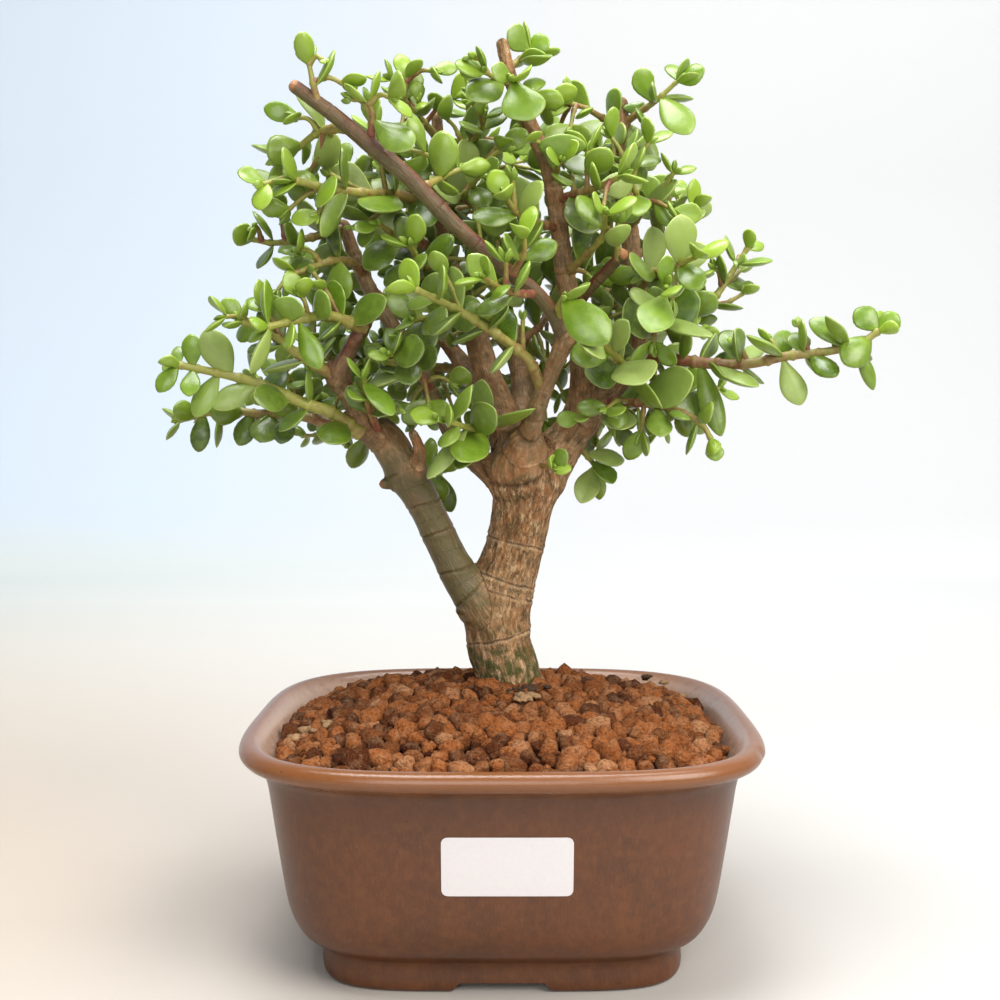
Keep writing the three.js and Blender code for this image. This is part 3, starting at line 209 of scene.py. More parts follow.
# Leafy shoots: the stem's radius, a full leaf's length, the bare length at the start, the share
# of leaf pairs with a side twig, and the line from the wood to the tip.
SHOOTS = {
    "left_long": (2.1, 10.5, 12, 0.3, [
        (-43, -9, 157), (-51, -14, 163), (-59, -17, 166), (-70, -20, 171), (-80, -22, 174), (-94, -25, 177)]),
    "left_low": (1.9, 10.5, 14, 0.1, [
        (-43, -5, 157), (-57, -2, 161), (-68, 0, 163), (-77, 2, 163), (-87, 3, 164), (-102, 5, 161)]),
    "left_middle": (1.7, 11, 7, 0.4, [
        (-50, -15, 174), (-58, -22, 179), (-63, -26, 183), (-69, -30, 187), (-74, -33, 189)]),
    "left_upper": (2, 11.5, 5, 0.2, [
        (-41, -18, 188), (-46, -23, 190), (-51, -27, 191), (-56, -31, 190), (-66, -37, 187)]),
    "left_rear": (2, 11.5, 14, 0.6, [
        (-34, 0, 150), (-46, 20, 156), (-58, 32, 160), (-71, 42, 166), (-84, 48, 170)]),
    "left_inner": (1.3, 11, 9, 0, [(-37, -4, 156), (-39, -14, 162), (-40, -20, 167), (-40, -26, 173)]),
    "left_center": (1.4, 11.5, 6, 0.4, [(-22, -4, 170), (-25, -14, 175), (-28, -22, 178), (-32, -30, 180)]),
    "upper_left_1": (2, 13, 12, 0.3, [
        (-20, 20, 229), (-31, -5, 229), (-40, -20, 227), (-51, -30, 227), (-58, -35, 228)]),
    "upper_left_2": (1.5, 11, 5, 0.5, [
        (-49, 1, 220), (-55, -6, 217), (-62, -9, 215), (-69, -11, 214), (-75, -12, 215)]),
    "upper_left_3": (1.5, 12, 6, 0.5, [
        (-43, -3, 206), (-45, -12, 208), (-49, -18, 208), (-54, -22, 206), (-60, -26, 203)]),
    "left_shoulder": (1.5, 13.5, 5, 0.4, [
        (-41, -43, 240), (-47, -36, 242), (-52, -31, 242), (-58, -27, 239), (-64, -25, 236)]),
    "diagonal_end": (1.1, 11, 3, 0, [(-50, -45, 247), (-51, -47, 252), (-52, -47, 257)]),
    "diagonal_top": (1.2, 11.5, 2.5, 0, [(-36, -43, 238), (-35, -46, 243), (-36, -47, 247)]),
    "diagonal_upper": (1.2, 13, 3, 0, [(-22, -40, 225), (-17, -34, 229), (-12, -30, 232)]),
    "diagonal_middle": (1.2, 12, 3.5, 0, [(3, -36, 202), (6, -41, 207), (6, -44, 211)]),
    "diagonal_base": (1.2, 12, 4, 0, [(17, -26, 190), (16, -32, 193), (17, -37, 195)]),
    "top_left": (1.4, 11, 5, 0.6, [(-21, 20, 252), (-26, 10, 256), (-30, 4, 260), (-29, 1, 266)]),
    "top_center_left": (1.4, 11.5, 6, 0.6, [(-20, 20, 245), (-12, 8, 247), (-7, -2, 248), (-5, -10, 252)]),
    "inner_left_1": (1.4, 13, 6, 0.6, [(-19, 20, 226), (-15, 8, 229), (-10, -4, 231), (-7, -14, 233)]),
    "inner_left_2": (1.5, 13, 6, 0.5, [(-19, 20, 216), (-26, 6, 216), (-31, -8, 216), (-36, -22, 218)]),
    "inner_left_3": (1.5, 13, 6, 0.5, [(-16, 20, 207), (-23, 6, 208), (-25, -10, 209), (-27, -22, 212)]),
    "inner_left_4": (1.5, 13, 7, 0.5, [(-12, 19, 197), (-18, 2, 195), (-21, -12, 192), (-26, -25, 190)]),
    "center_yellow": (1.8, 12, 12, 0.4, [
        (12, -15, 169), (8, -24, 178), (-1, -31, 185), (-11, -37, 191), (-24, -44, 197)]),
    "center_front": (1.3, 11.5, 5, 0.3, [(9, -31, 197), (5, -40, 196), (-1, -48, 197), (-5, -54, 199)]),
    "leader_left": (1.4, 13.5, 5, 0.6, [(17, -7, 219), (11, -16, 219), (5, -24, 220), (1, -31, 224)]),
    "leader_right_1": (1.4, 14, 5, 0.3, [(16, -9, 227), (22, -14, 228), (28, -19, 229), (34, -24, 231)]),
    "leader_right_2": (1.4, 13, 6, 0.4, [(19, -5, 205), (25, -14, 210), (29, -24, 214), (29, -34, 219)]),
    "leader_front": (1.2, 11, 4, 0, [(15, -10, 232), (16, -16, 234), (17, -22, 236)]),
    "top_left_leader": (1.2, 13, 2.5, 0, [(3, -18, 259), (-1, -22, 259), (-5, -27, 260)]),
    "top_right_leader": (1.2, 12, 2.5, 0.3, [(2, -19, 263), (6, -16, 267), (9, -13, 270)]),
    "top_front": (1.3, 11.5, 4, 0, [(4, -18, 255), (5, -24, 256), (3, -30, 257)]),
    "right_top": (1.3, 12, 4, 0, [(38, 12, 254), (43, 8, 257), (48, 5, 260), (54, 2, 265)]),
    "right_top_left": (1.3, 11.5, 4, 0.3, [(38, 12, 253), (31, 6, 255), (26, 3, 257), (21, 1, 258)]),
    "right_upper": (1.4, 13, 4, 0.6, [(40, 12, 222), (43, 2, 225), (41, -5, 229), (38, -10, 235)]),
    "right_stub_sprig": (1.2, 12, 2.5, 0, [(34, -23, 208), (33, -27, 212), (33, -30, 217)]),
    "right_middle_1": (1.5, 13.5, 5, 0.5, [(43, 9, 202), (47, -4, 205), (50, -16, 206), (56, -27, 208)]),
    "right_middle_2": (1.5, 12, 5, 0.6, [(41, 11, 213), (50, 12, 216), (56, 10, 221), (60, 6, 227)]),
    "far_right": (1.7, 11, 8, 0.5, [
        (43, 7, 189), (56, 14, 192), (65, 18, 196), (71, 20, 203), (80, 20, 217)]),
    "right_long": (2.1, 11, 12, 0, [
        (42, 5, 181), (50, -2, 180), (65, -8, 178), (75, -12, 178), (85, -16, 180), (95, -19, 181),
        (104, -22, 183), (110, -23, 187)]),
    "right_low": (1.6, 12, 6, 0.3, [
        (30, 7, 167), (44, -3, 166), (53, -8, 164), (60, -12, 160), (63, -14, 155)]),
    "right_front_1": (1.6, 13.5, 5, 0.3, [(37, 7, 173), (37, -9, 177), (33, -21, 180), (28, -30, 184)]),
    "right_front_2": (1.6, 14.5, 5, 0.4, [(43, 8, 194), (47, -7, 193), (47, -19, 194), (47, -30, 199)]),
    "below_fork": (1.4, 14.5, 5, 0, [(22, 9, 155), (28, 14, 149), (31, 19, 145)]),
    "trunk_top": (1, 10, 9, 0, [(11, -4, 147), (13, -11, 147), (15, -15, 147)]),
    "front_left": (1.5, 13, 12, 0.2, [(-2, 12, 160), (-6, -8, 158), (-11, -19, 159), (-17, -29, 161)]),
    "left_limb_side": (1.2, 12, 8, 0, [(-27, 0, 141), (-25, 10, 143), (-20, 19, 144)]),
    "rear_left_low": (1.7, 12, 7, 0.6, [(-12, 31, 178), (-30, 48, 180), (-48, 55, 183), (-66, 53, 182)]),
    "rear_left_top": (1.6, 12, 7, 0.6, [(-19, 39, 187), (-27, 47, 205), (-33, 50, 222), (-38, 44, 240)]),
    "rear_left_end": (1.6, 12, 8, 0.6, [(-15, 34, 182), (-28, 35, 194), (-48, 34, 207), (-66, 26, 214)]),
    "rear_middle_low": (1.6, 12.5, 5, 0.5, [(6, 26, 171), (4, 44, 176), (0, 59, 173), (-2, 66, 164)]),
    "rear_middle": (1.5, 12, 8, 0.6, [(5, 31, 181), (-4, 47, 192), (-10, 60, 202), (-16, 66, 212)]),
    "rear_middle_right": (1.6, 12, 8, 0.6, [(5, 33, 186), (15, 46, 196), (20, 56, 214), (21, 57, 232)]),
    "rear_top": (1.7, 12, 10, 0.6, [(4, 35, 189), (0, 41, 212), (-4, 42, 234), (-8, 34, 258)]),
    "rear_right_low": (1.7, 12, 6, 0.6, [(27, 25, 164), (44, 36, 168), (60, 42, 168), (75, 42, 172)]),
    "rear_right": (1.6, 12, 8, 0.6, [(31, 32, 176), (46, 44, 184), (58, 48, 198), (66, 42, 210)]),
    "rear_right_top": (1.7, 12, 10, 0.6, [(33, 36, 181), (36, 44, 205), (37, 42, 226), (36, 32, 247)]),
}
# Large leaves that stand out, by shoot: share of its length, tip, width and facing.
LARGE_LEAVES = {
    "right_long": [
        (0.29, (66, -12, 156), 7.5, FRONT), (0.33, (75, -22, 170), 8, UP), (0.29, (66, 2, 187), 6, SIDE),
        (0.46, (68, -4, 187), 7.5, FRONT), (0.46, (81, 4, 184), 7, UP), (0.62, (72, -24, 186), 9, UP),
        (0.62, (88, -18, 165), 8, FRONT), (0.7, (88, -14, 187), 8, UP), (0.73, (96, -26, 174), 9, FRONT),
        (0.88, (92, -18, 190), 7, FRONT), (0.88, (93, -28, 189), 9, UP), (0.96, (99, -28, 178), 10, FRONT),
        (0.9, (109, -22, 171), 4.5, FRONT), (1, (104, -22, 193), 9, FRONT),
        (1, (115, -24, 191), 8.5, FRONT)],
    "right_top": [
        (0.55, (42, 2, 268), 8.5, FRONT), (0.7, (57, -4, 247), 10, FRONT), (0.6, (45, -6, 261), 7, SIDE),
        (1, (61, -2, 267), 7.5, FRONT), (1, (53, 8, 272), 7, UP), (0.05, (47, 8, 239), 11, FRONT),
        (0.25, (41, 10, 260), 8, FRONT)],
    "left_long": [
        (1, (-99, -28, 170), 6, FRONT), (1, (-95, -22, 182), 4.5, FRONT), (0.93, (-90, -26, 185), 7, FRONT),
        (0.93, (-90, -28, 168), 6.5, FRONT), (0.74, (-85, -26, 186), 10, FRONT),
        (0.8, (-89, -24, 163), 8, FRONT), (0.6, (-84, -26, 165), 7.5, FRONT),
        (0.42, (-71, -28, 167), 9.5, FRONT), (0.12, (-51, -24, 155), 12, FRONT)],
    "left_low": [
        (0.86, (-95, 2, 152), 7, FRONT), (0.6, (-82, 0, 154), 8, FRONT), (0.5, (-74, -6, 155), 10, FRONT),
        (0.4, (-68, -4, 154), 9, FRONT)],
    "left_upper": [
        (0.8, (-59, -38, 195), 11, FRONT), (0.7, (-52, -34, 175), 6.5, FRONT),
        (0.96, (-69, -40, 175), 6, SIDE), (0.98, (-67, -38, 199), 6, SIDE),
        (0.16, (-33, -29, 196), 8.5, FRONT)],
    "left_inner": [(0.95, (-31, -34, 162), 7, UP)],
    "diagonal_base": [(1, (29, -42, 182), 12, FRONT), (0.8, (24, -40, 198), 9, UP)],
    "diagonal_top": [(0.5, (-24, -52, 232), 9, FRONT)],
    "top_front": [(1, (7, -34, 245), 13.5, FRONT)],
    "leader_front": [(1, (17, -26, 242), 14.5, FRONT)],
    "top_left_leader": [(0.9, (-11, -26, 263), 11, FRONT), (0.3, (-9, -32, 252), 10, FRONT)],
    "top_right_leader": [
        (0.9, (13, -14, 273), 8, FRONT), (0.4, (13, -26, 263), 9, UP), (0.95, (2, -18, 274), 9, FRONT)],
    "right_front_1": [
        (0.95, (23, -40, 180), 12, FRONT), (0.55, (41, -34, 171), 14, FRONT),
        (0.25, (48, -20, 165), 8, SIDE)],
    "right_front_2": [(0.35, (60, -28, 185), 9.5, UP), (0.9, (40, -42, 184), 11, FRONT)],
    "right_low": [
        (0.3, (58, -16, 173), 12.5, FRONT), (0.15, (36, -10, 157), 11, FRONT),
        (0.5, (47, -16, 156), 9, FRONT), (1, (64, -16, 149), 6.5, FRONT)],
    "front_left": [
        (0.25, (9, -26, 164), 11, UP), (0.45, (-12, -30, 150), 12, FRONT), (0.35, (-13, -18, 146), 9, UP),
        (0.7, (-22, -26, 144), 7, UP), (0.9, (-9, -34, 171), 7, SIDE)],
    "below_fork": [(0.9, (26, 10, 135), 10, FRONT), (0.7, (35, 8, 141), 8, UP)],
    "trunk_top": [(0.9, (19, -18, 151), 7, FRONT)],
    "left_limb_side": [(0.9, (-17, 20, 132), 8, FRONT)],
    "upper_left_1": [
        (1, (-64, -38, 227), 8, UP), (0.45, (-37, -34, 219), 13, FRONT), (0.75, (-51, -34, 213), 8, SIDE)],
    "left_center": [(0.95, (-23, -36, 181), 11, FRONT), (0.5, (-39, -24, 171), 8, UP)],
    "right_middle_1": [(0.4, (36, -26, 206), 10, FRONT)],
}
# Small side sprigs that fill the crown, by shoot: how far along it they grow, the point they
# reach and a full leaf's length.
SPRIGS = {
    "diagonal_end": [(0.95, (-48, -49, 257), 9), (0.5, (-43, -44, 252), 11)],
    "diagonal_top": [(0.9, (-30, -50, 247), 11), (0.6, (-41, -44, 248), 11)],
    "left_shoulder": [(0.5, (-57, -36, 245), 12), (0.95, (-68, -22, 240), 11), (0.35, (-50, -18, 237), 12)],
    "upper_left_1": [
        (0.6, (-47, -14, 236), 12), (0.75, (-52, -32, 219), 12), (0.95, (-66, -40, 226), 12),
        (0.85, (-61, -28, 221), 11), (0.3, (-24, -2, 241), 13)],
    "top_left": [(0.5, (-34, 0, 265), 11), (0.95, (-21, -2, 267), 11), (0.3, (-15, 10, 262), 12)],
    "top_center_left": [(0.4, (-17, 4, 254), 12), (0.9, (-10, -14, 255), 12)],
    "top_left_leader": [(0.9, (-8, -30, 263), 12)],
    "inner_left_1": [(0.95, (0, -18, 240), 13), (0.6, (3, -6, 248), 13)],
    "leader_front": [(0.9, (9, -26, 241), 12)],
    "rear_top": [(0.95, (2, 28, 250), 13), (0.8, (11, 36, 245), 13)],
    "leader_right_1": [(0.5, (25, -18, 240), 12), (0.85, (29, -28, 222), 12), (0.3, (21, -10, 234), 12)],
    "top_front": [(0.2, (14, -12, 255), 12)],
    "right_top_left": [(0.9, (21, -2, 250), 12)],
    "right_upper": [(0.9, (44, -10, 244), 13)],
    "rear_right_top": [
        (0.85, (32, 34, 252), 12), (0.5, (30, 42, 225), 12), (0.3, (31, 42, 213), 13),
        (0.4, (40, 44, 198), 13)],
    "upper_left_2": [(0.6, (-63, -14, 219), 11), (0.9, (-73, -16, 218), 10)],
    "upper_left_3": [(0.7, (-58, -26, 210), 11), (0.95, (-64, -30, 198), 11)],
    "left_middle": [(0.6, (-69, -26, 193), 11), (0.85, (-78, -36, 190), 10)],
    "left_upper": [(0.6, (-57, -32, 196), 11)],
    "left_center": [(0.6, (-30, -26, 185), 12), (0.3, (-22, -14, 166), 12), (0.15, (-28, -8, 165), 13)],
    "left_inner": [(0.5, (-31, -20, 164), 12), (0.8, (-36, -24, 169), 12)],
    "rear_left_low": [(0.25, (-24, 42, 173), 13), (0.5, (-36, 50, 176), 13), (0.1, (-11, 34, 170), 13)],
    "center_yellow": [(0.5, (-4, -34, 190), 12), (0.3, (6, -26, 190), 12)],
    "center_front": [(0.6, (1, -48, 204), 12)],
    "leader_left": [(0.8, (3, -30, 229), 13)],
    "rear_middle": [(0.5, (0, 52, 203), 13), (0.8, (-6, 60, 204), 13), (0.3, (6, 40, 192), 13)],
    "rear_middle_right": [
        (0.5, (21, 52, 206), 13), (0.2, (15, 40, 181), 13), (0.75, (14, 50, 210), 13),
        (0.1, (21, 38, 170), 13)],
    "rear_middle_low": [(0.5, (-11, 56, 172), 13), (0.8, (-18, 60, 171), 13)],
    "right_middle_1": [(0.5, (42, -8, 204), 13), (0.8, (50, -20, 196), 13)],
    "right_stub_sprig": [(0.5, (28, -26, 217), 12)],
    "right_front_2": [(0.4, (46, -10, 184), 13)],
    "right_low": [(0.4, (43, -6, 157), 13), (0.2, (35, 2, 158), 13)],
    "rear_right_low": [(0.5, (43, 42, 159), 13), (0.2, (32, 34, 155), 13)],
    "far_right": [(0.7, (69, 18, 210), 11), (0.9, (76, 16, 212), 10)],
    "right_long": [(0.6, (80, -14, 185), 9), (0.72, (88, -17, 189), 9), (0.48, (71, -10, 184), 10)],
    "rear_left_top": [(0.6, (-27, 52, 216), 13), (0.95, (-42, 42, 247), 13)],
    "rear_left_end": [(0.5, (-39, 34, 204), 13), (0.8, (-56, 24, 212), 12), (0.2, (-28, 34, 186), 12)],
    "left_rear": [(0.5, (-57, 38, 168), 12)],
    "left_low": [(0.6, (-75, 2, 158), 10)],
    "diagonal_upper": [(0.8, (-28, -24, 239), 12)],
    "inner_left_3": [(0.4, (-11, 4, 211), 13)],
}


# How leaves and twigs grow, as in the solids.
LEAF = {"thickness_share": 0.19, "thickness_range": (1.5, 2.6), "width_share": (0.72, 0.92),
        "length_share": (0.88, 1.14), "least_length": 5}
LEAF_FEELERS = np.array([
    (0.25, 0), (0.5, 0), (0.75, 0), (1, 0), (0.45, 0.44), (0.45, -0.44), (0.82, 0.44),
    (0.82, -0.44), (0.62, 0.24), (0.62, -0.24), (0.98, 0.22), (0.98, -0.22),
])
# Leaves stand in crossed pairs, closer and smaller towards the tip.
PAIR = {"tip_gap": 0.8, "spacing": (0.55, 0.12, 0.85), "size": (0.68, 0.18, 1.0), "sway": 0.25,
        "lift": (0.25, 0.7), "tip_lift": 0.35, "roll": 0.5, "rise": 0.12, "light_pull": 0.4}
STEM = {"tip_share": 0.5, "steps": 4}
# Twigs grow outward, forward and a little up, and then bend along their stem.
TWIG = {"radius": 0.9, "tip_radius": 0.6, "first_pair": 2, "share_kept": 0.8,
        "length_share": (0.9, 1.6), "outward": 0.8, "forward": 0.55, "rise": 0.2,
        "end_outward": 0.5, "end_forward": 0.25, "end_rise": 0.12, "bare_share": 0.45,
        "leaf_share": 0.85, "turn": 0.8}
# The room that a leaf or a twig keeps from another shoot, from its own leaves and from wood, and
# the share of a leaf's thickness that counts as its edge's.
CLEAR = {"other": 0.7, "own": 0.2, "wood": 0.6, "leaf_share": 0.35}
# Wood and stems are felt as balls on a string, so far apart.
BALL_STEP = 1.6
WOOD_FEEL_STEPS = 3
# Only leaves and balls this near are felt at all, and leaves with one root aren't.
LEAF_REACH = 2
WOOD_REACH = 6
SAME_ROOT = 1
MOST_LEAVES = 6000
# A leaf without room is rolled, lifted or turned, or made smaller: by how much at each attempt.
TRIES = [
    (0, 0, 0, 1), (0.45, 0, 0, 1), (-0.45, 0, 0, 1), (0, 0.35, 0, 1), (0, -0.35, 0, 0.95),
    (0, 0, 0.6, 0.9), (0, 0, -0.6, 0.9), (0.8, 0.2, 0, 0.85), (-0.8, 0.2, 0, 0.85),
    (0, 0.2, 0, 0.7),
]
LARGE_LEAF_PAIR = 2
# The light comes from above and a little from the front.
LIGHT = np.array([0, -0.25, 1.0])
PLANT_SEED = 11
# A stem steeper than this counts as upright.
UPRIGHT = 0.85
# The side sprigs are thin, arch up a little, and hold their leaves level.
SPRIG = {"radius": 0.85, "tip_radius": 0.55, "bare_share": 0.3, "arch": 1.5, "light": 2.6}
# The tips that sprigs grow to on their own, in the open spaces of the crown: where they are looked
# for, how far from the leaves and the stems they lie, and how many leaves are round them.
OPEN = {"seed": 5, "tries": 6000, "low": (-74, -12, 158), "high": (58, 60, 252), "from_leaf": (7.5, 13.0),
        "from_stem": (5.0, 21.0), "round": 22.0, "fewest": 13, "leaf": 12.5, "most": 130,
        "roots": (0.1, 1, 12), "clear": 0.5, "leaves_root_at": 2}


def linear(hex_color):
    """An sRGB hex colour as linear red, green, blue and alpha."""
    shares = [int(hex_color[i:i + 2], 16) / 255 for i in (1, 3, 5)]
    return [s / 12.92 if s <= 0.04045 else ((s + 0.055) / 1.055) ** 2.4 for s in shares] + [1.0]


def mix(low, high, share):
    return low + (high - low) * share


def seeded_random(seed):
    """One seeded stream of numbers between 0 and 1, the same as the solids'."""
    word = 0xFFFFFFFF
    state = seed & word

    def draw():
        nonlocal state
        state = (state + 0x6D2B79F5) & word
        mixed = ((state ^ (state >> 15)) * (state | 1)) & word
        mixed ^= (mixed + (mixed ^ (mixed >> 7)) * (mixed | 61)) & word
        return (mixed ^ (mixed >> 14)) / 4294967296

    return draw


def unit(direction):
    return direction / np.linalg.norm(direction)


def squared_to(direction, axis):
    """A direction with its part along another direction taken out."""
    return unit(direction - axis * np.dot(direction, axis))


def placed(points):
    """Points in millimetres round the middle of the pot, as metres in the shared frame."""
    return np.asarray(points, float) * MM + POT_MIDDLE


def smooth_line(points, steps):
    """A smooth line through points, with so many steps from each point to the next."""
    points = np.asarray(points, float)
    padded = np.vstack([2 * points[0] - points[1], points, 2 * points[-1] - points[-2]])
    line = []
    for i in range(len(points) - 1):
        before, start, end, after = padded[i:i + 4]
        leaving = (end - before) * 0.5
        arriving = (after - start) * 0.5
        for step in range(steps):
            t = step / steps
            line.append(
                start + leaving * t + (3 * (end - start) - 2 * leaving - arriving) * t * t
                + (2 * (start - end) + leaving + arriving) * t ** 3
            )
    line.append(points[-1])
    return np.array(line)


def even_line(rows, steps):
    """A smooth line through unevenly spaced rows, which doesn't swing out past them."""
    rows = np.asarray(rows, float)
    rows = np.vstack([2 * rows[0] - rows[1], rows, 2 * rows[-1] - rows[-2]])
    spans = [[(0, 1), (1, 2), (2, 3)], [(0, 2), (1, 3)], [(1, 2)]]
    line = []
    for i in range(1, len(rows) - 2):
        four = rows[i - 1:i + 3]
        gaps = np.linalg.norm(np.diff(four[:, :3], axis=0), axis=1) ** 0.5
        knots = np.concatenate([[0], np.cumsum(gaps)])
        for t in np.linspace(knots[1], knots[2], steps, endpoint=False):
            level = list(four)
            for pairs in spans:
                level = [
                    level[k] + (level[k + 1] - level[k]) * (t - knots[low]) / (knots[high] - knots[low])
                    for k, (low, high) in enumerate(pairs)
                ]
            line.append(level[0])
    line.append(rows[-2])
    return np.array(line)


def line_lengths(line):
    """The distance of each point of a line from its start."""
    return np.concatenate([[0], np.cumsum(np.linalg.norm(np.diff(line, axis=0), axis=1))])


def along(line, distance):
    """The point and direction at a distance along a line."""
    lengths = line_lengths(line)
    i = int(np.clip(np.searchsorted(lengths, distance), 1, len(line) - 1))
    direction = unit(line[i] - line[i - 1])
    step = min(distance, lengths[i]) - lengths[i - 1]
    return line[i - 1] + direction * step, direction


def share_along(line, share):
    """The point at a share of a line's length."""
    return along(line, line_lengths(line)[-1] * share)[0]


def stem_sides(direction):
    """Two directions square to a stem, from which the leaf pairs are turned."""
    reference = np.array([0, 1.0, 0]) if abs(direction[2]) > UPRIGHT else np.array([0, 0, 1.0])
    side = unit(np.cross(direction, reference))
    return side, np.cross(side, direction)


def radial(direction, turn):
    side, other = stem_sides(direction)
    return side * math.cos(turn) + other * math.sin(turn)


def balls_along(line, start_radius, end_radius):
    """Balls strung along a tapering line, as rows of x, y, z and radius."""
    total = line_lengths(line)[-1]
    count = max(2, math.ceil(total / BALL_STEP))
    return [
        (*along(line, total * i / count)[0], mix(start_radius, end_radius, i / count))
        for i in range(count + 1)
    ]


def smooth_radii(rows, steps):
    places = np.arange((len(rows) - 1) * steps + 1) / steps
    return np.interp(places, np.arange(len(rows)), [row[3] for row in rows])


def wood_balls():
    balls = []
    for rows in WOOD.values():
        line = smooth_line([row[:3] for row in rows], WOOD_FEEL_STEPS)
        radii = smooth_radii(rows, WOOD_FEEL_STEPS)
        for i in range(1, len(line)):
            balls += balls_along(line[i - 1:i + 1], radii[i - 1], radii[i])
    return balls


def pair_distances(total, bare, leaf):
    """Distances of the leaf pairs from the start of a stem, tip first. They crowd to the tip."""
    spacing, step, most = PAIR["spacing"]
    distance = total - PAIR["tip_gap"]
    distances = []
    while distance > bare:
        distance_to_next = leaf * min(spacing + step * len(distances), most)
        distances.append(distance)
        distance -= distance_to_next
    return distances


def plan_twigs(plan, is_clear):
    """The side twigs of a shoot that find room."""
    stem, draw = plan["stem"], plan["draw"]
    twigs = []
    total = line_lengths(stem["line"])[-1]
    for pair, distance in enumerate(pair_distances(total, stem["bare"], stem["leaf"])):
        wanted = draw()
        turn = stem["turn"] + pair * math.pi / 2 + (math.pi if draw() < 0.5 else 0)
        half = stem["leaf"] * mix(*TWIG["length_share"], draw()) / 2
        if pair < TWIG["first_pair"] or wanted > plan["twig_share"] * TWIG["share_kept"]:
            continue
        point, direction = along(stem["line"], distance)
        rise = np.array([0, 0, 1.0])
        heading = radial(direction, turn) * TWIG["outward"] + direction * TWIG["forward"]
        heading = unit(heading + rise * TWIG["rise"])
        ending = heading * TWIG["end_outward"] + direction * TWIG["end_forward"]
        ending = unit(ending + rise * TWIG["end_rise"])
        middle = point + heading * half
        line = smooth_line([point, middle, middle + ending * half], 2)
        if is_clear(line):
            twigs.append({
                "line": line, "radius": TWIG["radius"], "tip_radius": TWIG["tip_radius"],
                "bare": stem["leaf"] * TWIG["bare_share"], "leaf": stem["leaf"] * TWIG["leaf_share"],
                "turn": turn + TWIG["turn"],
            })
    return twigs


def wanted_leaves(stem, draw):
    """The leaves that a stem would have, tip first."""
    leaves = []
    total = line_lengths(stem["line"])[-1]
    for pair, distance in enumerate(pair_distances(total, stem["bare"], stem["leaf"])):
        point, direction = along(stem["line"], distance)
        at_tip, step, most = PAIR["size"]
        age = min(at_tip + step * pair, most)
        for opposite in (0, math.pi):
            sway = mix(-PAIR["sway"], PAIR["sway"], draw())
            turn = stem["turn"] + pair * math.pi / 2 + opposite + sway
            lift = mix(*PAIR["lift"], draw()) + (PAIR["tip_lift"] if pair == 0 else 0)
            roll = mix(-PAIR["roll"], PAIR["roll"], draw())
            length = stem["leaf"] * age * mix(*LEAF["length_share"], draw())
            width = length * mix(*LEAF["width_share"], draw())
            leaves.append({"root": point, "direction": direction, "turn": turn, "lift": lift,
                           "roll": roll, "length": length, "width": width, "pair": pair,
                           "light": stem.get("light", 1.0)})
    return leaves


def leaf_place(root, tipward, face, length, width, pair):
    """A leaf in its place: root, the direction to its tip, its face and its sizes."""
    thickness = float(np.clip(length * LEAF["thickness_share"], *LEAF["thickness_range"]))
    return {"root": root, "tipward": tipward, "face": face, "across": np.cross(face, tipward),
            "length": length, "width": width, "thickness": thickness, "pair": pair}


def tried_leaf(wanted, roll_shift, lift_shift, turn_shift, size):
    """The leaf that one attempt makes of a wanted one. Its face leans to the light."""
    lift = wanted["lift"] + lift_shift
    tipward = radial(wanted["direction"], wanted["turn"] + turn_shift) * math.cos(lift)
    tipward = unit(tipward + wanted["direction"] * math.sin(lift) + np.array([0, 0, PAIR["rise"]]))
    face = squared_to(wanted["direction"], tipward) + LIGHT * PAIR["light_pull"] * wanted["light"]
    level = squared_to(face, tipward)
    edge = np.cross(tipward, level)
    roll = wanted["roll"] + roll_shift
    turned = level * math.cos(roll) + edge * math.sin(roll)
    return leaf_place(wanted["root"], tipward, turned, wanted["length"] * size,
                      wanted["width"] * size, wanted["pair"])


def feelers(leaf):
    return (leaf["root"] + leaf["tipward"] * leaf["length"] * LEAF_FEELERS[:, :1]
            + leaf["across"] * leaf["width"] * LEAF_FEELERS[:, 1:])


def touches_leaf(leaf, points, room):
    """Whether any of some points, each with its room round it, would be inside a leaf."""
    offsets = points - leaf["root"]
    high = np.abs(offsets @ leaf["face"])
    half = leaf["length"] / 2
    lengthwise = (offsets @ leaf["tipward"] - half) / (half + room)
    sideways = offsets @ leaf["across"] / (leaf["width"] / 2 + room)
    inside = (high <= leaf["thickness"] / 2 + room) & (lengthwise ** 2 + sideways ** 2 < 1)
    return bool(inside.any())


def plan_sprig(stem, share, tip, leaf, draw):
    """A side sprig from a shoot's stem to a point."""
    root = share_along(stem["line"], share)
    tip = np.array(tip, float)
    middle = (root + tip) / 2 + np.array([0, 0, SPRIG["arch"]])
    return {"line": smooth_line([root, middle, tip], STEM["steps"]), "radius": SPRIG["radius"],
            "tip_radius": SPRIG["tip_radius"], "bare": leaf * SPRIG["bare_share"], "leaf": leaf,
            "turn": draw() * math.pi, "light": SPRIG["light"]}


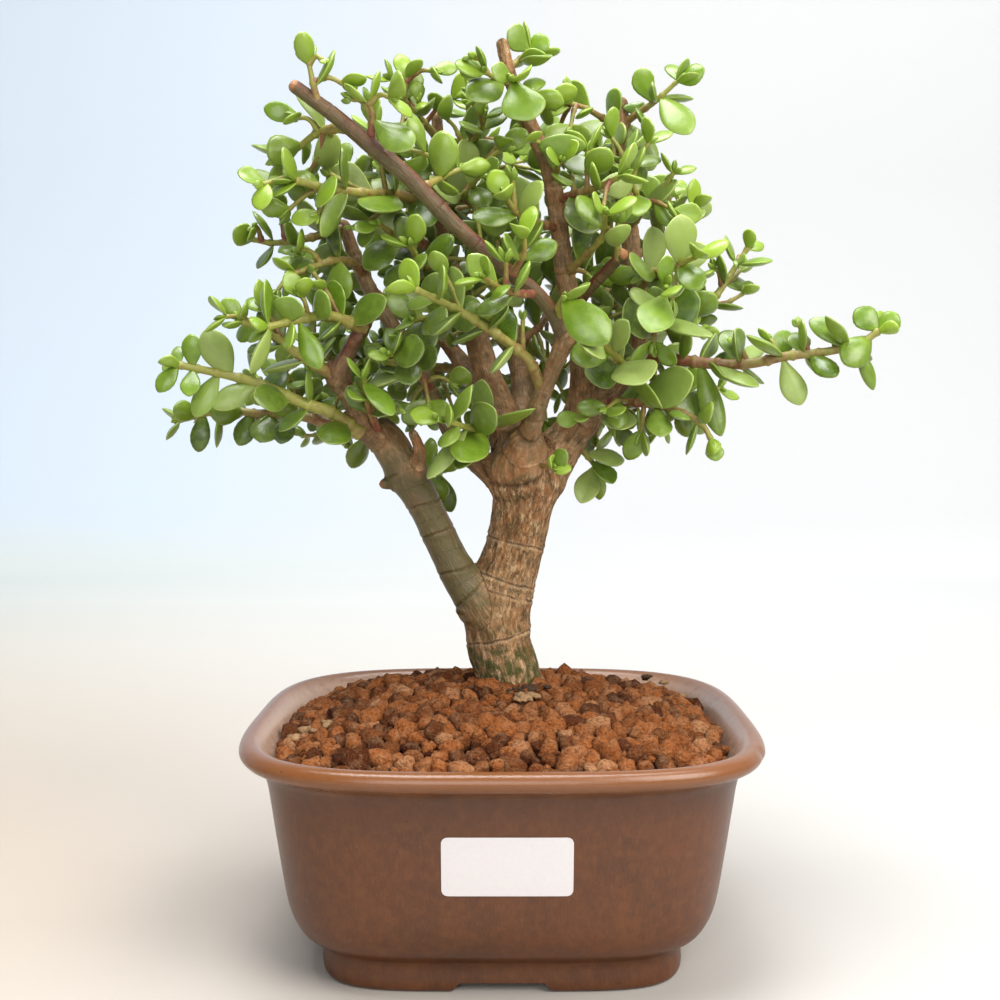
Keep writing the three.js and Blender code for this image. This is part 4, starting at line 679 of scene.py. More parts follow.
class Crown:
    """Every shoot, the room that its stems take, and the leaves that have found their place."""

    def __init__(self):
        self.plans, self.leaves = [], []
        self.middles, self.reaches = np.zeros((MOST_LEAVES, 3)), np.zeros(MOST_LEAVES)
        self.balls = [(*ball, -1) for ball in wood_balls()]
        for index, (name, (radius, leaf, bare, twigs, line)) in enumerate(SHOOTS.items()):
            draw = seeded_random(PLANT_SEED * 1000 + index)
            stem = {"line": smooth_line(line, STEM["steps"]), "radius": radius,
                    "tip_radius": radius * STEM["tip_share"], "bare": bare, "leaf": leaf,
                    "turn": draw() * math.pi}
            self.plans.append({"name": name, "draw": draw, "stem": stem, "twigs": [], "leaves": [],
                               "twig_share": twigs, "points": line})
            self.add_balls(stem, index)
        self.owners = {plan["name"]: index for index, plan in enumerate(self.plans)}
        for index, plan in enumerate(self.plans):
            plan["twigs"] = plan_twigs(plan, lambda line: self.twig_is_clear(line, index))
            for twig in plan["twigs"]:
                self.add_balls(twig, index)
        self.measure_room()

    def add_balls(self, stem, owner):
        self.balls += [(*b, owner) for b in balls_along(stem["line"], stem["radius"], stem["tip_radius"])]

    def measure_room(self):
        self.room = np.array(self.balls)
        self.room[:, 3] += np.where(self.room[:, 4] < 0, CLEAR["wood"], CLEAR["other"])

    def twig_is_clear(self, line, owner):
        own = np.array(balls_along(line, TWIG["radius"], TWIG["tip_radius"]))
        others = np.array([ball for ball in self.balls if ball[4] != owner])
        apart = np.linalg.norm(own[:, None, :3] - others[None, :, :3], axis=2)
        return not (apart < own[:, None, 3] + others[None, :, 3] + CLEAR["other"]).any()

    def place(self, leaf):
        count = len(self.leaves)
        self.middles[count] = leaf["root"] + leaf["tipward"] * leaf["length"] / 2
        self.reaches[count] = leaf["length"] / 2
        self.leaves.append(leaf)
        self.plans[leaf["owner"]]["leaves"].append(leaf)

    def is_clear(self, leaf):
        """Whether a leaf touches no wood, no other shoot's stem and no leaf that has its place."""
        middle = leaf["root"] + leaf["tipward"] * leaf["length"] / 2
        balls, rooms = self.room, self.room[:, 3]
        near = np.abs(balls[:, :3] - middle).max(axis=1) < leaf["length"] / 2 + rooms + WOOD_REACH
        near &= balls[:, 4] != leaf["owner"]
        if touches_leaf(leaf, balls[near, :3], rooms[near]):
            return False
        count = len(self.leaves)
        apart = np.linalg.norm(self.middles[:count] - middle, axis=1)
        near = np.nonzero(apart <= self.reaches[:count] + leaf["length"] / 2 + LEAF_REACH)[0]
        for other in (self.leaves[i] for i in near):
            same = other["owner"] == leaf["owner"]
            if same and np.linalg.norm(leaf["root"] - other["root"]) < SAME_ROOT:
                continue
            clear = CLEAR["own"] if same else CLEAR["other"]
            for one, two in ((leaf, other), (other, leaf)):
                if touches_leaf(two, feelers(one), one["thickness"] * CLEAR["leaf_share"] + clear):
                    return False
        return True

    def place_in_turn(self, queues):
        """Gives the wanted leaves of every shoot their place, one of each shoot at a time."""
        for turn in range(max(map(len, queues))):
            for index, queue in enumerate(queues):
                if turn >= len(queue):
                    continue
                for attempt in TRIES:
                    leaf = {**tried_leaf(queue[turn], *attempt), "owner": index}
                    if leaf["length"] >= LEAF["least_length"] and self.is_clear(leaf):
                        self.place(leaf)
                        break

    def place_large_leaves(self):
        for name, rows in LARGE_LEAVES.items():
            owner = self.owners[name]
            for share, tip, width, face in rows:
                root = share_along(self.plans[owner]["stem"]["line"], share)
                to_tip = np.array(tip, float) - root
                tipward = unit(to_tip)
                face = squared_to(np.array(face, float), tipward)
                leaf = leaf_place(root, tipward, face, np.linalg.norm(to_tip), width, LARGE_LEAF_PAIR)
                self.place({**leaf, "owner": owner})

    def add_sprigs(self):
        sprigs = [[plan_sprig(plan["stem"], *row, plan["draw"]) for row in SPRIGS.get(plan["name"], ())]
                  for plan in self.plans]
        for plan, added in zip(self.plans, sprigs):
            plan["twigs"] = plan["twigs"] + added
        self.place_in_turn([[leaf for sprig in added for leaf in wanted_leaves(sprig, plan["draw"])]
                            for plan, added in zip(self.plans, sprigs)])

    def fill_open_spaces(self):
        """Grows a sprig from the nearest shoot to each open place inside the crown."""
        random = np.random.default_rng(OPEN["seed"])
        roots = [(owner, share, share_along(plan["stem"]["line"], share))
                 for owner, plan in enumerate(self.plans) for share in np.linspace(*OPEN["roots"])]
        places = np.array([place for _, _, place in roots])
        added = 0
        for tip in random.uniform(OPEN["low"], OPEN["high"], (OPEN["tries"], 3)):
            apart = np.linalg.norm(self.middles[:len(self.leaves)] - tip, axis=1)
            from_stem = np.linalg.norm(places - tip, axis=1)
            is_open = all(low < gaps.min() < high for gaps, (low, high) in (
                (apart, OPEN["from_leaf"]), (from_stem, OPEN["from_stem"])))
            if added == OPEN["most"] or not is_open or (apart < OPEN["round"]).sum() < OPEN["fewest"]:
                continue
            owner, share, _ = roots[from_stem.argmin()]
            plan = self.plans[owner]
            sprig = plan_sprig(plan["stem"], share, tip, OPEN["leaf"], plan["draw"])
            line = sprig["line"][OPEN["leaves_root_at"]:]
            close = [leaf for leaf, gap in zip(self.leaves, apart) if gap < OPEN["round"]]
            wood = self.room[self.room[:, 4] != owner]
            gaps = np.linalg.norm(wood[:, None, :3] - line[None], axis=2) - wood[:, 3:4]
            if gaps.min() < 0 or any(touches_leaf(leaf, line, OPEN["clear"]) for leaf in close):
                continue
            added += 1
            plan["twigs"].append(sprig)
            self.add_balls(sprig, owner)
            self.measure_room()
            queues = [[] for _ in self.plans]
            queues[owner] = wanted_leaves(sprig, plan["draw"])
            self.place_in_turn(queues)


def plan_plant():
    """Every stem, twig and leaf of every shoot, the same as in the solids, and then the rest."""
    crown = Crown()
    crown.place_large_leaves()
    crown.place_in_turn([
        [leaf for stem in [plan["stem"], *plan["twigs"]] for leaf in wanted_leaves(stem, plan["draw"])]
        for plan in crown.plans])
    crown.add_sprigs()
    crown.fill_open_spaces()
    return crown.plans


def set_inputs(tree, node, inputs):
    """Sets a node's inputs, and links those that are given as sockets."""
    for key, value in inputs.items():
        if isinstance(value, bpy.types.NodeSocket):
            tree.links.new(value, node.inputs[key])
        else:
            node.inputs[key].default_value = value


def add_node(tree, kind, inputs=None, **settings):
    """Adds a node with its settings and its inputs."""
    node = tree.nodes.new(kind)
    for name, value in settings.items():
        setattr(node, name, value)
    set_inputs(tree, node, inputs or {})
    return node


def start_material(name, fields=(), stretches=(), noises=()):
    """Starts a material. Returns it, its node tree and shader, and the sockets to paint with by name:
    the place on the object, the fields that the mesh stores, places stretched along Z, and noises,
    each from the place it lies on, the width of its lumps in millimetres and its detail."""
    material = bpy.data.materials.new(name)
    material.use_nodes = True
    tree = material.node_tree
    tree.nodes.clear()
    shader = add_node(tree, "ShaderNodeBsdfPrincipled")
    add_node(tree, "ShaderNodeOutputMaterial", {"Surface": shader.outputs[0]})
    seen = {"place": add_node(tree, "ShaderNodeTexCoord").outputs["Object"]}
    for field in fields:
        kind = "Vector" if field == "limb_way" else "Fac"
        seen[field] = add_node(tree, "ShaderNodeAttribute", attribute_name=field).outputs[kind]
    for way, source, share in stretches:
        stretch = add_node(tree, "ShaderNodeMapping", {"Vector": seen[source], "Scale": (1, 1, share)})
        seen[way] = stretch.outputs[0]
    for pattern, way, lump, detail in noises:
        lumps = add_node(tree, "ShaderNodeTexNoise", {
            "Vector": seen[way], "Scale": 1 / (lump * MM), "Detail": detail, "Roughness": NOISE_ROUGHNESS})
        seen[pattern] = lumps.outputs["Fac"]
    return material, tree, shader, seen


def finish_material(tree, shader, color, relief, depth, inputs):
    """Gives a material its colour, its relief, which is so many millimetres deep, and its other inputs."""
    bump = add_node(tree, "ShaderNodeBump", {"Height": relief, "Strength": 1.0, "Distance": depth * MM})
    set_inputs(tree, shader, {"Base Color": color, "Normal": bump.outputs[0], **inputs})


def layered(tree, color, layers):
    """A color with others over it. Each layer shows where its pattern goes from low to high, at
    most so much: pattern, low, high, most, color."""
    for pattern, low, high, most, upper in layers:
        share = add_node(tree, "ShaderNodeMapRange", {0: pattern, 1: low, 2: high, 4: most})
        over = add_node(tree, "ShaderNodeMix", {0: share.outputs[0], 6: color, 7: upper}, data_type="RGBA")
        color = over.outputs[2]
    return color


def new_object(name, points, faces, material=None, edges=(), linked=True):
    """An object at the origin with its mesh in its place and smooth. It is in the scene if linked."""
    mesh = bpy.data.meshes.new(name)
    mesh.from_pydata([tuple(map(float, point)) for point in points], edges, faces)
    mesh.shade_smooth()
    if material:
        mesh.materials.append(material)
    return in_scene(name, mesh) if linked else bpy.data.objects.new(name, mesh)


def in_scene(name, data):
    """An object with some data, in the scene."""
    made = bpy.data.objects.new(name, data)
    bpy.context.scene.collection.objects.link(made)
    return made


def add_modifier(made, kind, **settings):
    """Adds a modifier with its settings."""
    modifier = made.modifiers.new(kind, kind)
    for name, value in settings.items():
        setattr(modifier, name, value)
    return modifier


def baked(made):
    """The object with its modifiers turned into a plain mesh."""
    bpy.context.view_layer.update()
    graph = bpy.context.evaluated_depsgraph_get()
    mesh = bpy.data.meshes.new_from_object(
        made.evaluated_get(graph), preserve_all_data_layers=True, depsgraph=graph)
    made.modifiers.clear()
    old = made.data
    made.data = mesh
    bpy.data.meshes.remove(old)
    mesh.name = made.name
    return made


def finished(made, slot, *nodes):
    """Puts a piece on the model: it rides on the pot and stands for the nodes that are named."""
    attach(made, "root")
    if nodes:
        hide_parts(*nodes)
    return made


def set_attribute(mesh, name, values, kind="FLOAT"):
    """Stores one value for each vertex of a mesh."""
    field = "vector" if kind == "FLOAT_VECTOR" else "value"
    layer = mesh.attributes.new(name, kind, "POINT")
    numeric = {"BOOLEAN": bool, "INT": np.int32}.get(kind, np.float32)
    layer.data.foreach_set(field, np.asarray(values, numeric).ravel())


def vertices_of(mesh):
    points = np.zeros(len(mesh.vertices) * 3)
    mesh.vertices.foreach_get("co", points)
    return points.reshape(-1, 3)


def normals_of(mesh):
    normals = np.zeros(len(mesh.vertices) * 3, np.float32)
    mesh.vertex_normals.foreach_get("vector", normals)
    return normals.reshape(-1, 3).astype(float)


def set_vertices(mesh, points):
    mesh.vertices.foreach_set("co", np.asarray(points, np.float32).ravel())
    mesh.update()


def round_turns(count):
    """The turns of so many points round a circle."""
    return np.arange(count) / count * FULL_TURN


def units(directions):
    """Each row of a table of directions, one long."""
    return directions / np.linalg.norm(directions, axis=1)[:, None]


def ring_faces(rings, sides, closed=True):
    """The quads between rings of points that run counter-clockwise."""
    faces = []
    for ring in range(rings - 1):
        for i in range(sides if closed else sides - 1):
            a, b = ring * sides + i, ring * sides + (i + 1) % sides
            faces.append((a, b, b + sides, a + sides))
    return faces


def closed_rings(rings):
    """A closed surface through rings of points that run counter-clockwise, as points and faces."""
    sides, last = len(rings[0]), (len(rings) - 1) * len(rings[0])
    faces = ring_faces(len(rings), sides)
    faces += [tuple(reversed(range(sides))), tuple(range(last, last + sides))]
    return np.vstack(rings), faces


def joined(parts):
    """Several pieces, each given as points and faces, as one."""
    points, faces = [], []
    for piece, sides in parts:
        start = sum(map(len, points))
        faces += [tuple(start + i for i in side) for side in sides]
        points.append(piece)
    return np.vstack(points), faces


def noise_at(points, size, seed=0.0):
    """Smooth noise between about -1 and 1 whose lumps are of a size, for each point."""
    shift = Vector((seed * 17.3, seed * 5.1, seed * 9.7))
    return np.array([noise.noise(Vector(p) / size + shift) for p in points])


def bell(distance, reach):
    return np.exp(-(distance / reach) ** 2)


# Pot

def rounded_ring(width, depth, height, square, sides, scale=1.0):
    """A rounded rectangle whose corners are as square as the exponent asks, in millimetres."""
    turns = round_turns(sides)
    x = np.sign(np.cos(turns)) * np.abs(np.cos(turns)) ** (2 / square) * width * scale
    y = np.sign(np.sin(turns)) * np.abs(np.sin(turns)) ** (2 / square) * depth * scale
    return np.stack([x, y, np.full(sides, float(height))], axis=1)


def wall_at(rings, height):
    """The ring of the pot's wall at a height: width, depth and how square it is."""
    rows = even_line(rings, 8)
    rows = rows[np.argsort(rows[:, 2])]
    return [float(np.interp(height, rows[:, 2], rows[:, k])) for k in (0, 1, 3)]


def glazed_stoneware(colors):
    """Brown satin glaze on stoneware, brushed on and fired: it runs down in fine streaks, breaks to
    a lighter brown where it is thin on the lip, and has pin specks of iron. Painted shade darkens a
    band under the lip, and a painted reflection lightens the inside wall. Soft broad gloss."""
    material, tree, shader, seen = start_material(
        "brown_satin_glaze", ["inside"], [("tall", "place", 0.14), ("taller", "place", 0.1)], [
            ("streaks", "tall", 0.5, 5), ("bands", "taller", 9.0, 3), ("clouds", "place", 30.0, 4),
            ("mottle", "place", 3.0, 5), ("specks", "place", 0.5, 2)])
    height = add_node(tree, "ShaderNodeSeparateXYZ", {0: seen["place"]}).outputs["Z"]
    pins = add_node(tree, "ShaderNodeTexVoronoi", {"Vector": seen["place"], "Scale": 150}).outputs["Distance"]
    # The glaze runs off the lip in a ragged line.
    level = add_node(tree, "ShaderNodeMath", {
        0: seen["bands"], 1: 0.006, 2: height}, operation="MULTIPLY_ADD").outputs[0]
    color = layered(tree, colors.glaze_dark, [
        (seen["clouds"], 0.2, 0.55, 1.0, colors.glaze),
        (seen["bands"], 0.5, 0.75, 0.3, colors.glaze_warm),
        (seen["streaks"], 0.48, 0.75, 0.35, colors.glaze_warm),
        (seen["streaks"], 0.46, 0.28, 0.35, colors.glaze_dark),
        (seen["mottle"], 0.5, 0.72, 0.35, colors.glaze_warm),
        (seen["mottle"], 0.5, 0.3, 0.4, colors.glaze_dark),
        # A ragged band just under the lip is darker: painted shade of the lip's overhang.
        (level, 0.05, 0.061, 0.45, colors.glaze_dark),
        (level, 0.0635, 0.0675, 1.0, layered(tree, colors.glaze_lip, [
            (seen["clouds"], 0.52, 0.36, 0.55, colors.glaze_warm),
            (seen["mottle"], 0.45, 0.7, 0.6, colors.glaze_warm)])),
        # Inside the lip the glaze is painted lighter and greyer: a painted reflection of the room.
        (seen["inside"], 0.0, 1.0, 1.0, layered(tree, colors.glaze_inside, [
            (seen["mottle"], 0.5, 0.3, 0.35, colors.glaze_lip)])),
        (seen["specks"], 0.7, 0.78, 0.3, colors.glaze_inside),
        (pins, 0.05, 0.025, 0.8, linear("#2e211c"))])
    # The wall is satin and the lip, where the glaze ran thin, is glossier.
    satin = add_node(tree, "ShaderNodeMapRange", {0: seen["clouds"], 1: 0.3, 2: 0.7, 3: 0.3, 4: 0.42})
    gloss = add_node(tree, "ShaderNodeMapRange", {
        0: level, 1: 0.064, 2: 0.068, 3: satin.outputs[0], 4: 0.24}).outputs[0]
    relief = add_node(tree, "ShaderNodeMath", {0: seen["streaks"], 1: seen["mottle"]}, operation="ADD")
    finish_material(tree, shader, color, relief.outputs[0], 0.06, {
        "Roughness": gloss, "IOR": 1.5, "Specular IOR Level": 0.45})
    return material


def cutters():
    """The two slots across the foot and the drain holes, as one closed mesh."""
    notch, hole = FOOT_NOTCH, DRAIN_HOLE
    slope = (notch["width_at_foot"] - notch["width_at_top"]) / 2 / notch["height"]
    below, top = notch["width_at_foot"] / 2 + slope, notch["width_at_top"] / 2
    outline = [(-below, -1), (below, -1), (top, notch["height"]), (-top, notch["height"])]
    reach = notch["reach"]
    prisms = [[[(x, y, z) for x, z in outline] for y in (reach, -reach)],
              [[(y, x, z) for x, z in reversed(outline)] for y in (reach, -reach)]]
    for end in (-1, 1):
        circle = [(end * hole["from_middle"] + hole["radius"] * math.cos(t), hole["radius"] * math.sin(t))
                  for t in round_turns(hole["sides"])]
        prisms.append([[(x, y, z) for x, y in circle] for z in (-hole["height"], hole["height"])])
    points, faces = joined([closed_rings(prism) for prism in prisms])
    return new_object("cutters", placed(points), faces)


class BONSAI_OT_pot(bpy.types.Operator):
    """Builds the glazed pot from its rings, with its foot's slots and its drain holes"""
    bl_idname = "bonsai.pot"
    bl_label = "Glazed Pot"

    def execute(self, context):
        sides = POT["sides"]
        rows = even_line(POT_RINGS, POT["steps"])
        points, faces = closed_rings([rounded_ring(*row, sides) for row in rows])
        heights = rows[:, 2].repeat(sides)
        free = np.interp(heights, (POT["steady_up_to"], POT["wavers_from"]), (0, 1))
        outward = units(points * (1, 1, 0))
        waver = noise_at(points, POT["waver_lump"], 1.0) - 0.5
        points += outward * (waver * POT["waver"] * free)[:, None]
        chip = bell(np.linalg.norm(points - LIP_CHIP["place"], axis=1), LIP_CHIP["reach"])
        points -= outward * (chip * LIP_CHIP["depth"])[:, None]
        pot = new_object("glazed_pot", placed(points), faces, glazed_stoneware(context.scene.bonsai))
        ring = np.arange(len(rows)).repeat(sides) / POT["steps"]
        # Marks the inside wall, which gets a painted reflection.
        set_attribute(pot.data, "inside", np.clip((ring - LIP_TOP_RING) / INSIDE_REFLECTION_FADE_RINGS, 0, 1))
        cutter = cutters()
        add_modifier(pot, "BOOLEAN", operation="DIFFERENCE", solver="EXACT", object=cutter)
        baked(pot)
        bpy.data.objects.remove(cutter)
        pot.data.shade_smooth()
        pot.data.set_sharp_from_angle(angle=math.radians(POT["sharp_angle"]))
        finished(pot, "glazed_pot", "pot")
        return {"FINISHED"}


# Label

def label_paper():
    """White label stock with a smooth coated face, printed with nothing. Flat white, faint sheen."""
    material, tree, shader, seen = start_material("white_label_paper", noises=[("fibres", "place", 1.1, 4)])
    color = layered(tree, linear("#c9c5c7"), [(seen["fibres"], 0.0, 1.0, 1.0, linear("#d3cfd0"))])
    finish_material(tree, shader, color, seen["fibres"], 0.01, {"Roughness": 0.45})
    return material


class BONSAI_OT_label(bpy.types.Operator):
    """Lays a thin blank label with rounded corners on the front of the pot"""
    bl_idname = "bonsai.label"
    bl_label = "Blank Label"

    def execute(self, context):
        wall = POT_RINGS[OUTER_WALL[0]:OUTER_WALL[1] + 1]
        half_width, half_height, corner = LABEL["width"] / 2, LABEL["height"] / 2, LABEL["corner"]
        points = []
        for turn in np.linspace(-math.pi / 2, math.pi / 2, LABEL["rows"] + 1):
            # The rows lie closest at the corners, where the sides draw in.
            up = half_height * math.sin(turn)
            into = max(abs(up) - (half_height - corner), 0)
            reach = half_width - corner + math.sqrt(max(corner ** 2 - into ** 2, 0))
            width, depth, square = wall_at(wall, LABEL["middle_height"] + up)
            for x in np.linspace(-reach, reach, LABEL["columns"] + 1) + LABEL["side_shift"]:
                y = -depth * (1 - abs(x / width) ** square) ** (1 / square)
                points.append((x, y - LABEL["gap"] - LABEL["thickness"], LABEL["middle_height"] + up))
        faces = ring_faces(LABEL["rows"] + 1, LABEL["columns"] + 1, closed=False)
        label = new_object("blank_sheet_label", placed(points), faces, label_paper())
        add_modifier(label, "SOLIDIFY", thickness=LABEL["thickness"] * MM, offset=-1)
        baked(label)
        label.data.set_sharp_from_angle(angle=math.radians(LABEL["sharp_angle"]))
        finished(label, "label_paper", "blank_label")
        return {"FINISHED"}


# Soil

def fired_clay(colors):
    """Granules of fired orange-brown clay: porous and dusty, each its own shade, with crumbly pits
    of half a millimetre. No gloss at all."""
    material, tree, shader, seen = start_material("fired_clay_granules", ["granule_tint"], noises=[
        ("grain", "place", 1.1, 10), ("blotch", "place", 3.8, 3), ("dust", "place", 0.5, 3)])
    color = layered(tree, colors.clay_dark, [
        (seen["granule_tint"], 0.0, 0.55, 1.0, colors.clay),
        (seen["blotch"], 0.45, 0.7, 0.3, colors.clay_light),
        (seen["granule_tint"], 0.85, 1.0, 0.45, colors.clay_light),
        (seen["grain"], 0.52, 0.34, 0.65, colors.clay_dark),
        (seen["dust"], 0.58, 0.75, 0.4, colors.clay_light)])
    finish_material(tree, shader, color, seen["grain"], 2.6, {"Roughness": 0.95, "Specular IOR Level": 0.15})
    return material


def mound_height(share):
    return SOIL["edge_height"] + SOIL["mound"] * (1 - share * share)


def soil_mound(first_share=1.0):
    """The top of the mound out to a share of its width, as points and faces."""
    width, depth, square = [POT_RINGS[INNER_WALL[0]][k] for k in (0, 1, 3)]
    width, depth = width - SOIL["wall_gap"], depth - SOIL["wall_gap"]
    shares = np.linspace(first_share, 0, SOIL["rings"], endpoint=False)
    rings = [rounded_ring(width, depth, mound_height(s), square, SOIL["sides"], s) for s in shares]
    points = np.vstack(rings + [[(0, 0, mound_height(0))]])
    faces = ring_faces(len(rings), SOIL["sides"])
    last = (len(rings) - 1) * SOIL["sides"]
    faces += [(last + i, last + (i + 1) % SOIL["sides"], len(points) - 1) for i in range(SOIL["sides"])]
    return points, faces


def granule_shape(name, seed):
    """One crumb of clay of unit size: a ball cut by planes, then weathered."""
    made = bpy.data.meshes.new(name)
    form = bmesh.new()
    bmesh.ops.create_icosphere(form, subdivisions=2, radius=0.5)
    form.to_mesh(made)
    form.free()
    random = np.random.default_rng(seed)
    directions = units(vertices_of(made))
    facing = directions @ units(random.normal(size=(GRANULE["cuts"], 3))).T
    cut_at = random.uniform(*GRANULE["cut_at"], GRANULE["cuts"])
    least = GRANULE["least_facing"]
    reach = np.where(facing > least, cut_at / np.maximum(facing, least), GRANULE["widest"]).min(axis=1)
    reach = np.minimum(reach, GRANULE["widest"])
    for shift, kind in enumerate(("coarse", "crumbly")):
        lump, height = GRANULE[kind]
        reach = reach + noise_at(directions, lump, seed + 5 * shift) * height
    set_vertices(made, directions * reach[:, None] * random.uniform(*GRANULE["stretch"], 3))
    made.shade_smooth()
    return bpy.data.objects.new(name, made)


def start_tree(name, **inputs):
    """Starts a geometry node tree. Returns it and its inputs, which are given as name and kind."""
    tree = bpy.data.node_groups.new(name, "GeometryNodeTree")
    tree.interface.new_socket("Geometry", in_out="OUTPUT", socket_type="NodeSocketGeometry")
    for name, kind in {"Geometry": "Geometry", **inputs}.items():
        tree.interface.new_socket(name, in_out="INPUT", socket_type="NodeSocket" + kind)
    return tree, add_node(tree, "NodeGroupInput").outputs


def finish_tree(tree, geometry, *skins):
    """Ends a node tree: makes its instances real and gives what is selected its material."""
    geometry = add_node(tree, "GeometryNodeRealizeInstances", {"Geometry": geometry}).outputs[0]
    for skin in skins:
        geometry = add_node(tree, "GeometryNodeSetMaterial", {"Geometry": geometry, **skin}).outputs[0]
    add_node(tree, "NodeGroupOutput", {"Geometry": geometry})


def granule_tree():
    """Scatters granules over a surface: spacing, sizes and seed are its inputs."""
    tree, given = start_tree("clay_granules", shapes="Collection", spacing="Float", smallest="Float",
                             largest="Float", lift="Float", palest="Float", seed="Int", clay="Material")
    points = add_node(tree, "GeometryNodeDistributePointsOnFaces", {
        "Mesh": given["Geometry"], "Distance Min": given["spacing"], "Density Factor": 1.0,
        "Density Max": GRANULE["most_per_square_metre"], "Seed": given["seed"]}, distribute_method="POISSON")
    lift = add_node(tree, "ShaderNodeVectorMath", {
        0: points.outputs["Normal"], "Scale": given["lift"]}, operation="SCALE")
    moved = add_node(tree, "GeometryNodeSetPosition", {
        "Geometry": points.outputs["Points"], "Offset": lift.outputs[0]})
    shapes = add_node(tree, "GeometryNodeCollectionInfo", {
        "Collection": given["shapes"], "Separate Children": True, "Reset Children": True})
    size = add_node(tree, "FunctionNodeRandomValue", {
        2: given["smallest"], 3: given["largest"], "Seed": given["seed"]})
    turn = add_node(tree, "FunctionNodeRandomValue", {
        0: (0.0, 0.0, 0.0), 1: (FULL_TURN,) * 3, "Seed": 21}, data_type="FLOAT_VECTOR")
    pick = add_node(tree, "FunctionNodeRandomValue", {
        4: 0, 5: GRANULE["shapes"] - 1, "Seed": 22}, data_type="INT")
    # A layer's palest tint is lowered for the fine granules: painted shade.
    tint = add_node(tree, "FunctionNodeRandomValue", {2: 0.0, 3: given["palest"], "Seed": 23})
    granules = add_node(tree, "GeometryNodeInstanceOnPoints", {
        "Points": moved.outputs[0], "Instance": shapes.outputs[0], "Pick Instance": True,
        "Instance Index": pick.outputs[2], "Rotation": turn.outputs[0], "Scale": size.outputs[1]})
    tinted = add_node(tree, "GeometryNodeStoreNamedAttribute", {
        "Geometry": granules.outputs[0], "Name": "granule_tint", "Value": tint.outputs[1]},
        data_type="FLOAT", domain="INSTANCE")
    finish_tree(tree, tinted.outputs[0], {"Material": given["clay"]})
    return tree


def run_tree(made, tree, **values):
    """Puts a node tree on an object, sets its named inputs and bakes the result."""
    modifier = add_modifier(made, "NODES", node_group=tree)
    sockets = {s.name: s.identifier for s in tree.interface.items_tree if s.in_out == "INPUT"}
    for name, value in values.items():
        modifier[sockets[name]] = value
    return baked(made)


def shape_collection(name, shapes):
    """A collection of shapes for a tree to pick from. It is never in the scene."""
    collection = bpy.data.collections.new(name)
    for shape in shapes:
        collection.objects.link(shape)
    return collection


def drop_collection(collection):
    for shape in list(collection.objects):
        bpy.data.objects.remove(shape)
    bpy.data.collections.remove(collection)


def dry_litter(colors):
    """Crumbs of dead bark and leaf on the soil: fibrous and dull, from nearly black to pale straw."""
    material, tree, shader, seen = start_material(
        "dry_bark_litter", ["granule_tint"], noises=[("fibres", "place", 0.8, 5)])
    color = layered(tree, linear("#2c2019"), [
        (seen["granule_tint"], 0.0, 1.0, 1.0, linear("#ad8963")),
        (seen["fibres"], 0.5, 0.35, 0.6, colors.bark_dark)])
    finish_material(tree, shader, color, seen["fibres"], 0.6, {"Roughness": 0.95, "Specular IOR Level": 0.2})
    return material


class BONSAI_OT_litter(bpy.types.Operator):
    """Strews a few crumbs of dry bark over the soil"""
    bl_idname = "bonsai.litter"
    bl_label = "Bark Litter"

    def execute(self, context):
        crumb = granule_shape("crumb", CRUMB["form_seed"])
        form = vertices_of(crumb.data)
        sides = [tuple(face.vertices) for face in crumb.data.polygons]
        drop_collection(shape_collection("crumbs", [crumb]))
        width, depth = [POT_RINGS[INNER_WALL[0]][k] - SOIL["wall_gap"] for k in (0, 1)]
        pieces, tints = [], []
        random = np.random.default_rng(CRUMB["seed"])
        for x, y, long, wide, count, tint in LITTER:
            for _ in range(count):
                spot = np.array([x, y]) + random.normal(0, 1, 2) * CRUMB["spread"]
                turn = Matrix.Rotation(random.uniform(0, FULL_TURN), 3, "Z")
                size = np.array([long, wide, wide * CRUMB["flatness"]]) * random.uniform(*CRUMB["size"])
                share = max(abs(spot[0]) / width, abs(spot[1]) / depth)
                height = mound_height(share) + CRUMB["lift"] * (1 - share ** CRUMB["sinks_at_edge"])
                pieces.append((form * size @ np.array(turn) + (*spot, height), sides))
                tints += [tint * random.uniform(*CRUMB["shade"])] * len(form)
        points, faces = joined(pieces)
        litter = new_object("bark_litter", placed(points), faces, dry_litter(context.scene.bonsai))
        set_attribute(litter.data, "granule_tint", tints)
        finished(litter, "bark")
        return {"FINISHED"}


